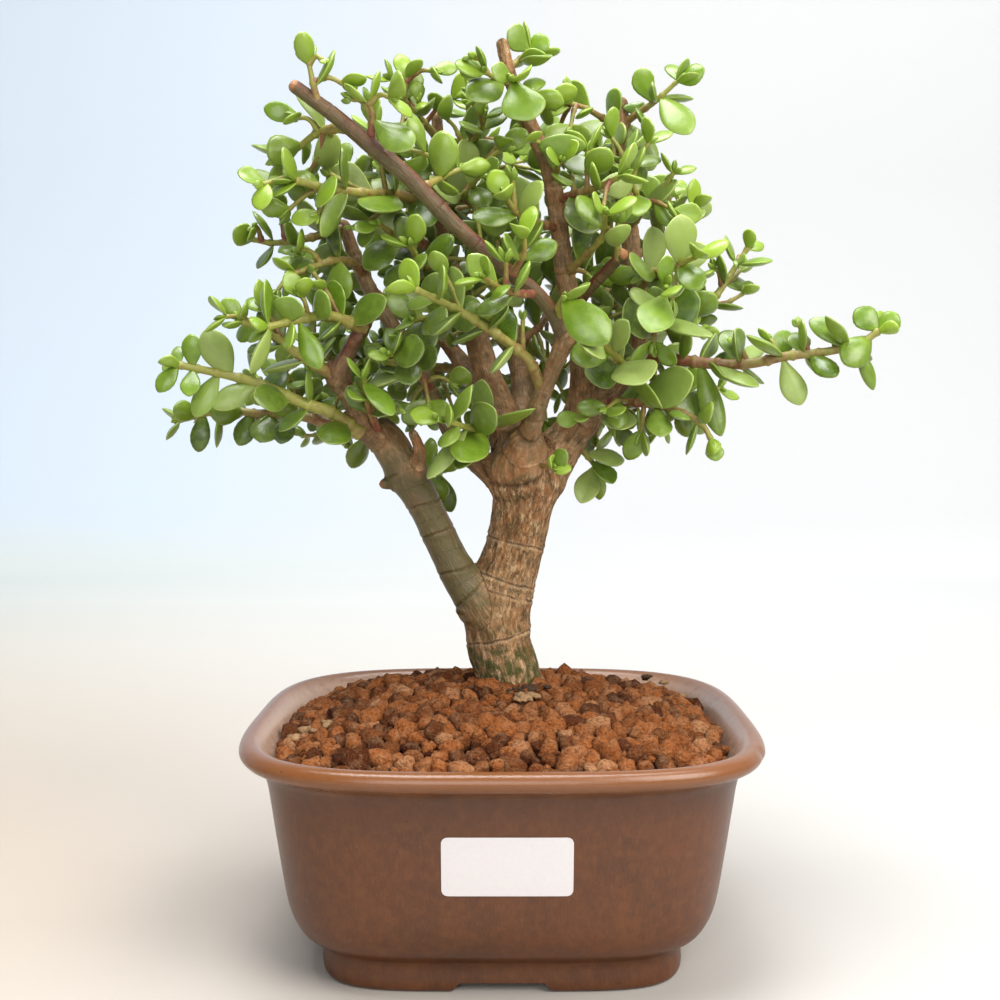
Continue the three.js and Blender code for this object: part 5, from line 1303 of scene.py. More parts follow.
class BONSAI_OT_soil(bpy.types.Operator):
    """Fills the pot with a bed of clay and covers its mound with granules"""
    bl_idname = "bonsai.soil"
    bl_label = "Clay Soil"

    def execute(self, context):
        colors = context.scene.bonsai
        clay = fired_clay(colors)
        points, faces = soil_mound()
        points[:, 2] -= SOIL["bed_below"] + SOIL["bed_rough"] * noise_at(points, SOIL["bed_lump"], 2.0)
        top_count = len(points)
        inner = even_line(POT_RINGS[INNER_WALL[0]:INNER_WALL[1] + 1], 3)
        walls = [rounded_ring(w - SOIL["wall_gap"], d - SOIL["wall_gap"], z, q, SOIL["sides"])
                 for w, d, z, q in inner if z < SOIL["edge_height"] - SOIL["wall_below"]]
        walls[-1][:, 2] += SOIL["wall_gap"]
        points = np.vstack([points, *walls])
        sides = SOIL["sides"]
        starts = [0] + [top_count + i * sides for i in range(len(walls))]
        for upper, lower in zip(starts, starts[1:]):
            faces += [(lower + i, lower + (i + 1) % sides, upper + (i + 1) % sides, upper + i)
                      for i in range(sides)]
        faces.append(tuple(reversed(range(starts[-1], starts[-1] + sides))))
        bed = new_object("clay_bed", placed(points), faces, clay)
        # The bed shows only between the granules and is painted the darkest clay: painted shade.
        set_attribute(bed.data, "granule_tint", np.zeros(len(points)))
        finished(bed, "clay_granules", "soil")
        shapes = shape_collection("granule_shapes", [
            granule_shape(f"granule_{i}", GRANULE["first_seed"] + i) for i in range(GRANULE["shapes"])])
        tree = granule_tree()
        for kind in GRANULES:
            share = 1 - kind["size"][1] / SOIL["edge_share"] / POT_RINGS[INNER_WALL[0]][0]
            points, faces = soil_mound(share)
            cover = new_object(kind["name"], placed(points), faces)
            scale = colors.granule_scale
            run_tree(cover, tree, shapes=shapes, spacing=kind["spacing"] * MM * scale,
                     smallest=kind["size"][0] * MM * scale, largest=kind["size"][1] * MM * scale,
                     lift=kind["lift"] * MM, seed=kind["seed"], palest=kind["palest"], clay=clay)
            finished(cover, "clay_granules")
        drop_collection(shapes)
        return {"FINISHED"}


# Wood

# How each limb looks: how flaky and how green or red its bark is, in shares of one, how far apart
# its leaf scars ring it, in millimetres, and how even its green is. The rest are plain branches.
WOOD_LOOKS = {
    "trunk": (1.0, 0.14, 0.0, 0, 0.15),
    "left limb": (0.1, 0.85, 0.0, 0, 0.95),
    "left elbow": (0.3, 0.1, 0.5, 4.2, 0.15),
    "twig above the elbow": (0.0, 0.1, 0.8, 7.0, 0.15),
    "front branch": (0.25, 0.35, 0.1, 6.0, 0.15),
    "long diagonal branch": (0.0, 0.7, 0.55, 17.0, 0.75),
    "inner left branch": (0.35, 0.25, 0.05, 10.0, 0.15),
    "branch from the knuckle": (0.1, 0.55, 0.2, 9.0, 0.15),
    "right limb": (0.35, 0.25, 0.05, 11.0, 0.15),
    "leader": (0.35, 0.2, 0.05, 9.5, 0.15),
    "red cut branch": (0.0, 0.0, 1.0, 6.5, 0.15),
    "cut stub on the left limb": (0.1, 0.6, 0.0, 0, 0.9),
    "dry stub on the left limb": (0.7, 0.0, 0.15, 3.5, 0.15),
}
PLAIN_BRANCH = (0.25, 0.3, 0.1, 9.0, 0.15)
CUT_LIMBS = ("cut stub on the left limb", "red cut branch", "long diagonal branch")
# Rings that old leaves left round the trunk and the left limb: two points of each, x and z, as
# the front shows them.
RING_SCARS = {
    "trunk": [
        ((2.2, 123.0), (14.4, 119.8)), ((-6.8, 112.9), (10.4, 107.3)), ((-8.1, 108.5), (9.1, 103.2)),
        ((-9.4, 89.9), (9.5, 94.3)),
    ],
    "left limb": [
        ((-31.9, 144.8), (-23.5, 147.9)), ((-27.9, 133.5), (-19.5, 136.6)),
        ((-24.5, 124.1), (-14.6, 127.9)), ((-18.6, 112.5), (-10.6, 115.3)),
        ((-13.7, 102.5), (-7.7, 108.8)),
    ],
}
# The trunk's rings show most, and those of a branch least.
SCAR = {"strength": {"trunk": 1.0, "left limb": 0.6}, "plain_strength": 0.3, "reach": 3.0, "depth": 0.5,
        "width": 0.5, "swelling": 0.4, "swelling_width": 1.7, "waver": 0.5, "waver_lump": 5.0,
        "branch_waver": 0.6, "branch_waver_lump": 7.0, "uneven": 0.18, "wave": (5.0, 1.7, 2.3)}
# The smooth swollen knuckle that the front branch grows from, with a crease round it. It shows at
# the front and on the left, up to where it runs out.
KNUCKLE = {"place": (4.5, -1.0, 150.5), "reach": 11.2, "rise": 1.5, "crease": 0.7, "crease_width": 0.5,
           "front": (0, 4), "left": (11, 15), "edge": 2.5, "smooth": 0.85}
KNOT = {"place": (-11.2, 1.6, 100.3), "lip": 2.5, "lip_width": 0.9, "rise": 0.8, "hollow": 1.3,
        "hollow_share": 0.6}
BARK = {"voxel": 0.59, "sides": 28, "steps": 8, "smoothing": 5, "blend": 1.4, "collar": 1.8,
        "flake_width": 1.5, "flake_length": 7.0, "flake_depth": 0.5, "lump": 9.0, "lump_depth": 0.45,
        "least_lumpy": 0.4, "flaky_ends": 0.4, "moss_top": 93.0, "moss_depth": 9.0}
# A cut branch shows its wood from just before its end.
CUT_FACE = {"before_end": 0.2, "fade": 0.5}
# The flakes of one limb don't line up with those of the next.
LIMB_SHIFT = 37.0
# The ends of a tube are domes with two rings. No limb points where its first ring starts.
DOME_TURNS = (0.5, 1.0)
RING_START = (0.31, 1.0, 0.17)
# The sun reddens a young branch from above and leaves it green below.
SUN = {"level": 0.5, "slope": 0.9, "greener_below": 0.8, "red": (0.25, 0.9)}


def tube(line, radii, sides):
    """A round tube along a line with domed ends, as points and faces."""
    directions = units(np.gradient(line, axis=0))
    domes = [(math.sin(turn), math.cos(turn)) for turn in DOME_TURNS]
    stations = [(line[0] - directions[0] * radii[0] * up, directions[0], radii[0] * out)
                for up, out in reversed(domes)]
    stations += list(zip(line, directions, radii))
    stations += [(line[-1] + directions[-1] * radii[-1] * up, directions[-1], radii[-1] * out)
                 for up, out in domes]
    side = squared_to(np.array(RING_START), directions[0])
    turns = round_turns(sides)
    points = []
    for middle, direction, radius in stations:
        side = squared_to(side, direction)
        other = np.cross(direction, side)
        points.append(middle + radius * (np.cos(turns)[:, None] * side + np.sin(turns)[:, None] * other))
    return closed_rings(points)


def limb_lines():
    """Each limb as a fine smooth line with its radii."""
    return {name: (smooth_line([row[:3] for row in rows], BARK["steps"]), smooth_radii(rows, BARK["steps"]))
            for name, rows in WOOD.items()}


def limb_ways(points, lines):
    """For each limb, how points lie to it: how far outside it and along it, their offset from its
    middle line, its direction there, and its length."""
    ways = []
    for line, radii in lines.values():
        squares = (points ** 2).sum(axis=1)[:, None] + (line ** 2).sum(axis=1)[None] - 2 * points @ line.T
        outside = np.sqrt(np.maximum(squares, 0)) - radii
        nearest = outside.argmin(axis=1)
        direction = units(np.gradient(line, axis=0)[nearest])
        offset = points - line[nearest]
        shift = (offset * direction).sum(axis=1)
        offset -= direction * shift[:, None]
        lengths = line_lengths(line)
        ways.append((outside.min(axis=1), lengths[nearest] + shift, offset, direction, lengths[-1]))
    return ways


def ring_distance(points, ends):
    """The signed distance of points from the plane of a ring that the front shows as a line."""
    (x0, z0), (x1, z1) = ends
    across, up = x1 - x0, z1 - z0
    return ((points[:, 2] - z0) * across - (points[:, 0] - x0) * up) / math.hypot(across, up)


def scars_on(name, index, points, along_limb, spacing):
    """How far the points of a limb are from its nearest leaf scar, and how strong its scars are."""
    if name in RING_SCARS:
        waver = SCAR["waver"] * noise_at(points, SCAR["waver_lump"], 4.0)
        distances = np.stack([ring_distance(points, ends) + waver for ends in RING_SCARS[name]])
        nearest = np.abs(distances).argmin(axis=0)
        return np.take_along_axis(distances, nearest[None], 0)[0], SCAR["strength"][name]
    if not spacing:
        return SCAR["reach"], 0.0
    # No two gaps between the scars of a branch are the same.
    shift, rate, start = SCAR["wave"]
    uneven = np.sin((along_limb + index * shift) / spacing * rate) * spacing * SCAR["uneven"]
    waver = SCAR["branch_waver"] * noise_at(points, SCAR["branch_waver_lump"], 6.0)
    phase = along_limb + uneven + waver + index * start
    return (phase + spacing / 2) % spacing - spacing / 2, SCAR["plain_strength"]


def across_limb(offset, direction):
    """Points' offsets from a limb's middle line as two distances across the limb."""
    side, _ = stem_sides(unit(direction.mean(axis=0)))
    side = units(side - direction * (direction @ side)[:, None])
    return (offset * side).sum(axis=1), (offset * np.cross(direction, side)).sum(axis=1)


def bark_of_dwarf_jade(colors):
    """Bark of an old dwarf jade: thin, brown and flaking in small plates on the trunk, smooth and
    olive where it is younger, red-brown where the sun reached it, with dark rings where leaves fell
    off, partly painted shade in their grooves and with a painted highlight on their lips, painted
    shade in the knuckle's crease and the knot's hollow, and moss in its cracks at the foot. Dull,
    with a faint sheen where it is green."""
    material, tree, shader, seen = start_material(
        "dwarf_jade_bark",
        ["limb_way", "flaky", "green", "red", "moss", "cut", "scar_way", "scar_strength", "crease"],
        [("long", "limb_way", 0.35), ("longer", "limb_way", 0.15)], [
            ("flakes", "long", 1.2, 7), ("fibres", "longer", 0.6, 4), ("patches", "place", 8.0, 4),
            ("blotches", "place", 3.0, 4), ("specks", "place", 0.7, 2), ("grain", "place", 0.4, 3)])
    flaky, flakes, fibres, patches, blotches = [
        seen[name] for name in ("flaky", "flakes", "fibres", "patches", "blotches")]
    # The bark cracks into plates about 1.3 mm wide and 4 mm long, which curl and fall off unevenly.
    curl = add_node(tree, "ShaderNodeTexNoise", {"Vector": seen["long"], "Scale": 900, "Detail": 3})
    shift = add_node(tree, "ShaderNodeVectorMath", {
        0: curl.outputs["Color"], "Scale": 0.0026}, operation="SCALE")
    curled = {"Scale": 780, "Vector": add_node(tree, "ShaderNodeVectorMath", {
        0: seen["long"], 1: shift.outputs[0]}, operation="ADD").outputs[0]}
    cracks = add_node(tree, "ShaderNodeTexVoronoi", curled, feature="DISTANCE_TO_EDGE").outputs["Distance"]
    plate = add_node(tree, "ShaderNodeTexVoronoi", curled).outputs["Color"]
    faint = add_node(tree, "ShaderNodeMapRange", {0: blotches, 1: 0.3, 2: 0.65, 4: flaky}).outputs[0]
    sums = {}
    for name, first, factor, added in (
            ("greener", patches, 1.6, seen["green"]), ("redder", patches, 1.2, seen["red"]),
            ("wander", patches, 0.0014, seen["scar_way"])):
        sums[name] = add_node(tree, "ShaderNodeMath", {
            0: first, 1: factor, 2: added}, operation="MULTIPLY_ADD").outputs[0]
    # A ring is a dark broken line about 0.5 mm wide with a pale lip. The dark line is the scar's
    # own colour and painted shade in its groove, and the pale lip is a painted highlight. It wanders
    # a little.
    wander = add_node(tree, "ShaderNodeMath", {0: sums["wander"], 1: 0.0007}, operation="SUBTRACT")
    scar = add_node(tree, "ShaderNodeMath", {0: wander.outputs[0]}, operation="ABSOLUTE").outputs[0]
    broken = add_node(tree, "ShaderNodeMapRange", {
        0: blotches, 1: 0.36, 2: 0.5, 4: seen["scar_strength"]}).outputs[0]
    ring = add_node(tree, "ShaderNodeMapRange", {0: scar, 1: 0.0006, 2: 0.0, 4: broken}).outputs[0]
    lip = add_node(tree, "ShaderNodeMapRange", {0: scar, 1: 0.0014, 2: 0.0005, 4: broken}).outputs[0]
    # The knuckle's crease is painted dark like a ring: painted shade.
    ring = add_node(tree, "ShaderNodeMath", {0: ring, 1: seen["crease"]}, operation="MAXIMUM").outputs[0]
    brown = layered(tree, colors.bark, [
        (patches, 0.42, 0.6, 0.9, colors.bark_warm),
        (blotches, 0.46, 0.64, 0.7, colors.bark_olive),
        (patches, 0.44, 0.3, 0.6, colors.bark_dark),
        (plate, 0.6, 1.1, faint, colors.bark_pale),
        (plate, 0.35, 0.1, faint, colors.bark_warm),
        (flakes, 0.52, 0.8, flaky, colors.bark_pale),
        (fibres, 0.54, 0.75, 0.35, colors.bark_pale),
        (fibres, 0.46, 0.28, 0.45, colors.bark_dark),
        (flakes, 0.46, 0.27, flaky, colors.bark_dark),
        (cracks, 0.08, 0.0, faint, colors.bark_dark),
        (lip, 0.0, 1.0, 0.3, colors.bark_pale)])
    olive = layered(tree, colors.bark_green, [
        (blotches, 0.42, 0.65, 0.7, colors.bark_olive),
        (fibres, 0.55, 0.75, 0.15, colors.bark_pale),
        (patches, 0.5, 0.35, 0.35, colors.bark_dark)])
    ruddy = layered(tree, colors.bark_red, [
        (blotches, 0.45, 0.7, 0.5, colors.bark_warm), (patches, 0.5, 0.35, 0.4, colors.bark_dark)])
    # Moss sits in the hollows of the flakes.
    hollows = add_node(tree, "ShaderNodeMath", {0: blotches, 1: flakes}, operation="SUBTRACT").outputs[0]
    mossy = add_node(tree, "ShaderNodeMath", {
        0: hollows, 1: 3.0, 2: seen["moss"]}, operation="MULTIPLY_ADD").outputs[0]
    damp = add_node(tree, "ShaderNodeMapRange", {0: seen["moss"], 1: 0.0, 2: 0.5, 4: 0.85}).outputs[0]
    wound = layered(tree, linear("#7d4f2c"), [(blotches, 0.4, 0.65, 1.0, linear("#a9784a"))])
    color = layered(tree, brown, [
        (sums["greener"], 1.0, 1.55, 1.0, olive),
        (sums["redder"], 0.75, 1.3, 1.0, ruddy),
        (plate, 0.5, 0.8, seen["moss"], colors.bark_pink),
        (mossy, 0.25, 1.1, damp, colors.moss),
        (seen["specks"], 0.66, 0.75, 0.5, colors.bark_dark),
        (ring, 0.0, 1.0, 0.65, colors.bark_dark),
        (seen["cut"], 0.0, 1.0, 1.0, wound)])
    gloss = add_node(tree, "ShaderNodeMapRange", {0: flaky, 1: 0.1, 2: 0.8, 3: 0.38, 4: 0.88}).outputs[0]
    relief = add_node(tree, "ShaderNodeMapRange", {0: cracks, 1: 0.0, 2: 0.25, 4: faint}).outputs[0]
    for pattern, factor in ((flakes, flaky), (fibres, 0.8), (seen["grain"], 0.3), (ring, -1.0)):
        relief = add_node(tree, "ShaderNodeMath", {
            0: pattern, 1: factor, 2: relief}, operation="MULTIPLY_ADD").outputs[0]
    finish_material(tree, shader, color, relief, 0.45, {"Roughness": gloss, "Specular IOR Level": 0.4})
    return material


class BONSAI_OT_wood(bpy.types.Operator):
    """Grows the trunk and the branches into one another and gives them their bark"""
    bl_idname = "bonsai.wood"
    bl_label = "Trunk and Branches"

    def execute(self, context):
        lines = limb_lines()
        points, faces = joined([tube(line, radii, BARK["sides"]) for line, radii in lines.values()])
        wood = new_object("jade_trunk_and_branches", placed(points), faces,
                          bark_of_dwarf_jade(context.scene.bonsai))
        add_modifier(wood, "REMESH", mode="VOXEL", voxel_size=BARK["voxel"] * MM, use_smooth_shade=True)
        add_modifier(wood, "SMOOTH", factor=0.5, iterations=BARK["smoothing"])
        baked(wood)
        self.add_bark(wood.data, lines)
        wood.data.shade_smooth()
        finished(wood, "bark", "trunk_and_branches")
        return {"FINISHED"}

    def add_bark(self, mesh, lines):
        points = (vertices_of(mesh) - POT_MIDDLE) / MM
        normals = normals_of(mesh)
        ways = limb_ways(points, lines)
        outside = np.stack([way[0] for way in ways])
        gaps = outside - outside.min(axis=0)
        weights = np.exp(-gaps / BARK["blend"])
        weights /= weights.sum(axis=0)
        looks = np.array([WOOD_LOOKS.get(name, PLAIN_BRANCH) for name in lines])
        flaky, green, red, even = [(weights * looks[:, k:k + 1]).sum(axis=0) for k in (0, 1, 2, 4)]
        # Most limbs are greenest between their ends.
        middles = np.stack([1 - (2 * way[1] / way[4] - 1) ** 2 for way in ways])
        midway = np.clip((weights * middles).sum(axis=0), 0, 1)
        green = green * np.maximum(midway, even)
        flaky = np.clip(flaky + (1 - midway) * (1 - even) * BARK["flaky_ends"], 0, 1)
        nearest = outside.argmin(axis=0)
        limb_way = np.zeros_like(points)
        scar_way, scar_strength, cut = np.zeros((3, len(points)))
        for index, name in enumerate(lines):
            mine = nearest == index
            along_limb, offset, direction = [part[mine] for part in ways[index][1:4]]
            limb_way[mine] = np.stack([
                *across_limb(offset, direction), along_limb + index * LIMB_SHIFT], axis=1)
            scar_way[mine], scar_strength[mine] = scars_on(
                name, index, points[mine], along_limb, looks[index, 3])
            if name in CUT_LIMBS:
                past = along_limb - ways[index][4] + CUT_FACE["before_end"]
                cut[mine] = np.clip(past / CUT_FACE["fade"], 0, 1)
        # Where limbs meet, their bark has grown out into a collar.
        rise = BARK["collar"] * np.log(np.exp(-gaps / BARK["collar"]).sum(axis=0))
        plates = limb_way / (BARK["flake_width"], BARK["flake_width"], BARK["flake_length"])
        flakes = noise_at(plates, 1.0, 1.0) + 0.5 * noise_at(plates, 0.5, 2.0)
        lumps = noise_at(points, BARK["lump"], 3.0) * np.clip(flaky + BARK["least_lumpy"], 0, 1)
        rise += flaky * flakes * BARK["flake_depth"] + lumps * BARK["lump_depth"]
        scar = np.abs(scar_way)
        rise += scar_strength * (SCAR["swelling"] * bell(scar, SCAR["swelling_width"])
                                 - SCAR["depth"] * bell(scar, SCAR["width"]))
        from_knuckle = np.linalg.norm(points - KNUCKLE["place"], axis=1) - KNUCKLE["reach"]
        shown = (np.interp(points[:, 1], KNUCKLE["front"], (1, 0))
                 * np.interp(points[:, 0], KNUCKLE["left"], (1, 0)))
        knuckle = np.clip(-from_knuckle / KNUCKLE["edge"], 0, 1) * shown
        crease = bell(from_knuckle, KNUCKLE["crease_width"]) * shown
        rise += KNUCKLE["rise"] * knuckle - KNUCKLE["crease"] * crease
        from_knot = np.linalg.norm(points - KNOT["place"], axis=1)
        rise += KNOT["rise"] * bell(from_knot - KNOT["lip"], KNOT["lip_width"])
        rise -= KNOT["hollow"] * bell(from_knot, KNOT["lip"] / 2)
        # The knot's hollow is painted dark like a ring: painted shade.
        hollow = bell(from_knot, KNOT["lip"] * KNOT["hollow_share"])
        set_vertices(mesh, vertices_of(mesh) + normals * rise[:, None] * MM)
        sunlit = np.clip(SUN["level"] + normals[:, 2] * SUN["slope"], 0, 1)
        least_red, redder = SUN["red"]
        fields = {
            "flaky": flaky * (1 - KNUCKLE["smooth"] * knuckle),
            "green": np.clip(green + red * (1 - sunlit) * SUN["greener_below"], 0, 1),
            "red": red * (least_red + redder * sunlit),
            "moss": np.clip((BARK["moss_top"] - points[:, 2]) / BARK["moss_depth"], 0, 1),
            "cut": cut, "crease": crease,
            "scar_way": np.clip(scar_way, -SCAR["reach"], SCAR["reach"]) * MM * (1 - hollow),
            "scar_strength": np.maximum(scar_strength, hollow),
        }
        for name, values in fields.items():
            set_attribute(mesh, name, values)
        set_attribute(mesh, "limb_way", limb_way * MM, "FLOAT_VECTOR")


# Leafy shoots

# Leaf forms: how far out the widest place lies, how blunt the outline is, and how the leaf is bent
# lengthwise, cupped across, folded at its middle and turned to one side, in its own sizes.
LEAF_FORMS = [
    (1.36, 0.60, 0.35, 0.25, 0.0, 0.00), (1.18, 0.56, 0.15, 0.35, 0.1, 0.04),
    (1.55, 0.64, 0.55, 0.15, 0.0, -0.05), (1.30, 0.55, -0.35, 0.20, 0.2, 0.03),
    (1.42, 0.66, 0.75, 0.40, 0.3, 0.00), (1.25, 0.60, -0.10, -0.25, 0.0, -0.04),
    (1.48, 0.58, 0.25, 0.55, 0.5, 0.05), (1.33, 0.62, -0.55, 0.10, 0.0, 0.00),
]
# A leaf's mesh: its sides, and the shares at which rings lie between its middle and its edge.
LEAF_MESH = {"plain": (18, (0.86, 0.45)), "fine": (30, (0.94, 0.8, 0.58, 0.28))}
FINE_LEAF_LENGTH = 12.5
# Where a leaf's middle lies, how wide it is at its root, how it bulges from its edge, more below
# than above, and how it thickens from its root.
LEAF_BODY = {"middle": 0.54, "root_half": 0.035, "root_share": 6, "bulge": (2.2, 0.8), "above": 0.8,
             "below": 1.2, "root_thickness": 0.35, "thickens": 2.4, "bend_from": 0.3, "cup": 2.4}
# Leaves up to a length are a little narrower than the solids' and all are a little plumper.
LEAF_SLIM = {"up_to": 14.5, "share": (0.8, 1.0), "longer": 1.1, "plumper": 1.2}
# New leaves are yellower, and less so where other leaves shade them, which is painted shade.
# Some of the longer ones have a waxy bloom, partly a painted sheen.
LEAF_SKIN = {"young_at_tip": 0.85, "ages": 0.3, "young": (0.3, 1.0), "young_in_shade": 0.3,
             "bloom_from": 11, "bloom_chance": 0.4, "bloom": (0.3, 0.75), "faint_bloom": (0, 0.2),
             "tint": (0.6, 1.0), "bud_shade": 0.3}
# What the tree reads for each leaf, and the kind of value it is.
LEAF_FIELDS = {"leaf_size": "FLOAT_VECTOR", "leaf_turn": "QUATERNION", "leaf_shape": "INT",
               "leaf_tint": "FLOAT", "leaf_young": "FLOAT", "leaf_bloom": "FLOAT"}
# A leaf under others is painted a deeper green, as painted shade: the ways to the light, how wide
# a ray is, how far it reaches and how many leaves shade it fully.
SHADE = {"ways": ((0.35, -0.75, 0.55), (-0.5, 0.7, 0.5), (0.8, 0.2, 0.5), (-0.8, -0.2, 0.5)),
         "width": 8.0, "near": 4.0, "far": 70.0, "full": 5.0}
SHOOT_STEM = {"spacing": 0.6, "sides": 10, "node_swelling": 0.3, "node_width": 0.55, "base_flare": 0.25,
              "smooth_steps": 12, "fewest": 4, "bare_share": 0.3, "leaf_share": 0.8,
              "red": (0.35, 1.0), "greener_tip": 0.75}
SHOOT_SEED = 900
TIP_BUD = {"length_share": 0.3, "length": (0.8, 1.3), "width_share": 0.5, "spread": 0.35, "sunk": 0.6}


def leaf_form(name, sides, shares, form):
    """One plump leaf, 1 long, 1 wide and 1 thick, from its root at the origin along Y, face up."""
    wide_at, bluntness, bend, cup, fold, turn = form
    phase = round_turns(sides)
    out = (1 - np.cos(phase)) / 2
    half = 0.5 * np.sin(math.pi * out ** wide_at) ** bluntness
    half += LEAF_BODY["root_half"] * np.clip(1 - out * LEAF_BODY["root_share"], 0, 1)
    outline = np.stack([-np.sign(np.sin(phase)) * half, out], axis=1)
    middle = np.array([0.0, LEAF_BODY["middle"]])
    points, rim, side = [], [], []

    def add_ring(share, facing):
        """Adds a ring of the upper or lower face and returns the number of its first point."""
        flat = middle + (outline - middle) * share if share else middle[None]
        x, y = flat.T
        steep, blunt = LEAF_BODY["bulge"]
        bulge = 0.5 * (1 - share ** steep) ** blunt * LEAF_BODY["above" if facing > 0 else "below"]
        z = facing * bulge * np.minimum(1.0, LEAF_BODY["root_thickness"] + y * LEAF_BODY["thickens"])
        z = z + bend * (y * y - LEAF_BODY["bend_from"] * y) + cup * LEAF_BODY["cup"] * x * x + fold * abs(x)
        points.extend(zip(x + turn * y * y, y, z))
        rim.extend([share] * len(flat))
        side.extend([facing] * len(flat))
        return len(points) - len(flat)

    edge = add_ring(1.0, 0)
    faces = []
    for facing in (1, -1):
        outer = edge
        for share in (*shares, 0.0):
            inner = add_ring(share, facing)
            for i in range(sides):
                j = (i + 1) % sides
                corners = [outer + i, outer + j] + ([inner + j, inner + i] if share else [inner])
                faces.append(corners[::facing])
            outer = inner
    leaf = new_object(name, points, faces, linked=False)
    for field, values in (("leaf_rim", rim), ("leaf_side", side), ("leaf_along", [p[1] for p in points])):
        set_attribute(leaf.data, field, values)
    return leaf


def jade_leaf(colors):
    """A fleshy dwarf jade leaf: water-filled, so light glows through it a little, with a waxy skin
    that gives a soft gloss, a grey bloom on some of the large ones, partly a painted sheen, a thin
    pale margin, a paler underside, a few dark specks, and a deeper green where other leaves shade
    it, which is painted shade."""
    material, tree, shader, seen = start_material("dwarf_jade_leaf", [
        "leaf_tint", "leaf_young", "leaf_bloom", "leaf_rim", "leaf_side", "leaf_along"], noises=[
            ("mottle", "place", 2.4, 3), ("specks", "place", 0.9, 1), ("skin", "place", 0.45, 2)])
    # The margin is about 0.4 mm wide.
    color = layered(tree, colors.leaf_deep, [
        # Leaves that others shade are painted a deeper green: painted shade.
        (seen["leaf_tint"], 0.1, 0.95, 1.0, colors.leaf),
        (seen["mottle"], 0.4, 0.7, 0.35, colors.leaf_light),
        (seen["leaf_young"], 0.0, 1.0, 1.0, colors.leaf_young),
        (seen["leaf_along"], 0.3, 0.0, 0.35, colors.leaf_young),
        (seen["leaf_side"], 0.2, -0.6, 0.4, colors.leaf_under),
        # The bloom is partly a painted sheen.
        (seen["leaf_bloom"], 0.0, 1.0, 1.0, colors.leaf_bloom),
        (seen["leaf_rim"], 0.93, 1.0, 0.35, colors.leaf_margin),
        (seen["specks"], 0.76, 0.82, 0.5, linear("#4a4a1e"))])
    gloss = add_node(tree, "ShaderNodeMapRange", {0: seen["leaf_bloom"], 3: 0.3, 4: 0.52}).outputs[0]
    relief = add_node(tree, "ShaderNodeMath", {
        0: seen["skin"], 1: 0.3, 2: seen["mottle"]}, operation="MULTIPLY_ADD").outputs[0]
    finish_material(tree, shader, color, relief, 0.09, {
        "Roughness": gloss, "IOR": 1.45, "Subsurface Weight": 0.08, "Subsurface Radius": (0.5, 1.0, 0.15),
        "Subsurface Scale": 0.0014, "Coat Weight": 0.12, "Coat Roughness": 0.25})
    return material


def jade_stem(colors):
    """The young stem of a dwarf jade: fleshy, yellow-green at the tip and red-brown and dull where
    it is older, with fine lengthwise wrinkles."""
    material, tree, shader, seen = start_material(
        "dwarf_jade_stem", ["stem_red"], noises=[("mottle", "place", 2.0, 4)])
    share = add_node(tree, "ShaderNodeMath", {
        0: seen["mottle"], 1: 1.6, 2: seen["stem_red"]}, operation="MULTIPLY_ADD").outputs[0]
    color = layered(tree, colors.stem_green, [(share, 0.9, 1.7, 1.0, colors.stem_red)])
    finish_material(tree, shader, color, seen["mottle"], 0.2, {
        "Roughness": 0.5, "Subsurface Weight": 0.08, "Subsurface Scale": 0.001})
    return material


def shoot_tree():
    """Turns a shoot's lines into stems and its loose points into leaves."""
    tree, given = start_tree("leafy_shoot", shapes="Collection", leaf_scale="Float",
                             stem_skin="Material", leaf_skin="Material")
    stored = {
        name: add_node(tree, "GeometryNodeInputNamedAttribute", {"Name": name}, data_type=kind).outputs[0]
        for name, kind in {"stem_radius": "FLOAT", "is_leaf": "BOOLEAN", **LEAF_FIELDS}.items()}
    curves = add_node(tree, "GeometryNodeMeshToCurve", {0: given["Geometry"]})
    circle = add_node(tree, "GeometryNodeCurvePrimitiveCircle", {
        "Resolution": SHOOT_STEM["sides"], "Radius": 1.0})
    stems = add_node(tree, "GeometryNodeCurveToMesh", {
        "Curve": curves.outputs[0], "Profile Curve": circle.outputs[0],
        "Scale": stored["stem_radius"], "Fill Caps": True})
    stems = add_node(tree, "GeometryNodeSetShadeSmooth", {"Geometry": stems.outputs[0], "Shade Smooth": True})
    shapes = add_node(tree, "GeometryNodeCollectionInfo", {
        "Collection": given["shapes"], "Separate Children": True, "Reset Children": True})
    size = add_node(tree, "ShaderNodeVectorMath", {
        0: stored["leaf_size"], "Scale": given["leaf_scale"]}, operation="SCALE")
    leaves = add_node(tree, "GeometryNodeInstanceOnPoints", {
        "Points": given["Geometry"], "Selection": stored["is_leaf"], "Instance": shapes.outputs[0],
        "Pick Instance": True, "Instance Index": stored["leaf_shape"],
        "Rotation": stored["leaf_turn"], "Scale": size.outputs[0]})
    both = add_node(tree, "GeometryNodeJoinGeometry", {0: stems.outputs[0]})
    tree.links.new(leaves.outputs[0], both.inputs[0])
    finish_tree(tree, both.outputs[0], {"Material": given["stem_skin"]},
                {"Selection": stored["is_leaf"], "Material": given["leaf_skin"]})
    return tree


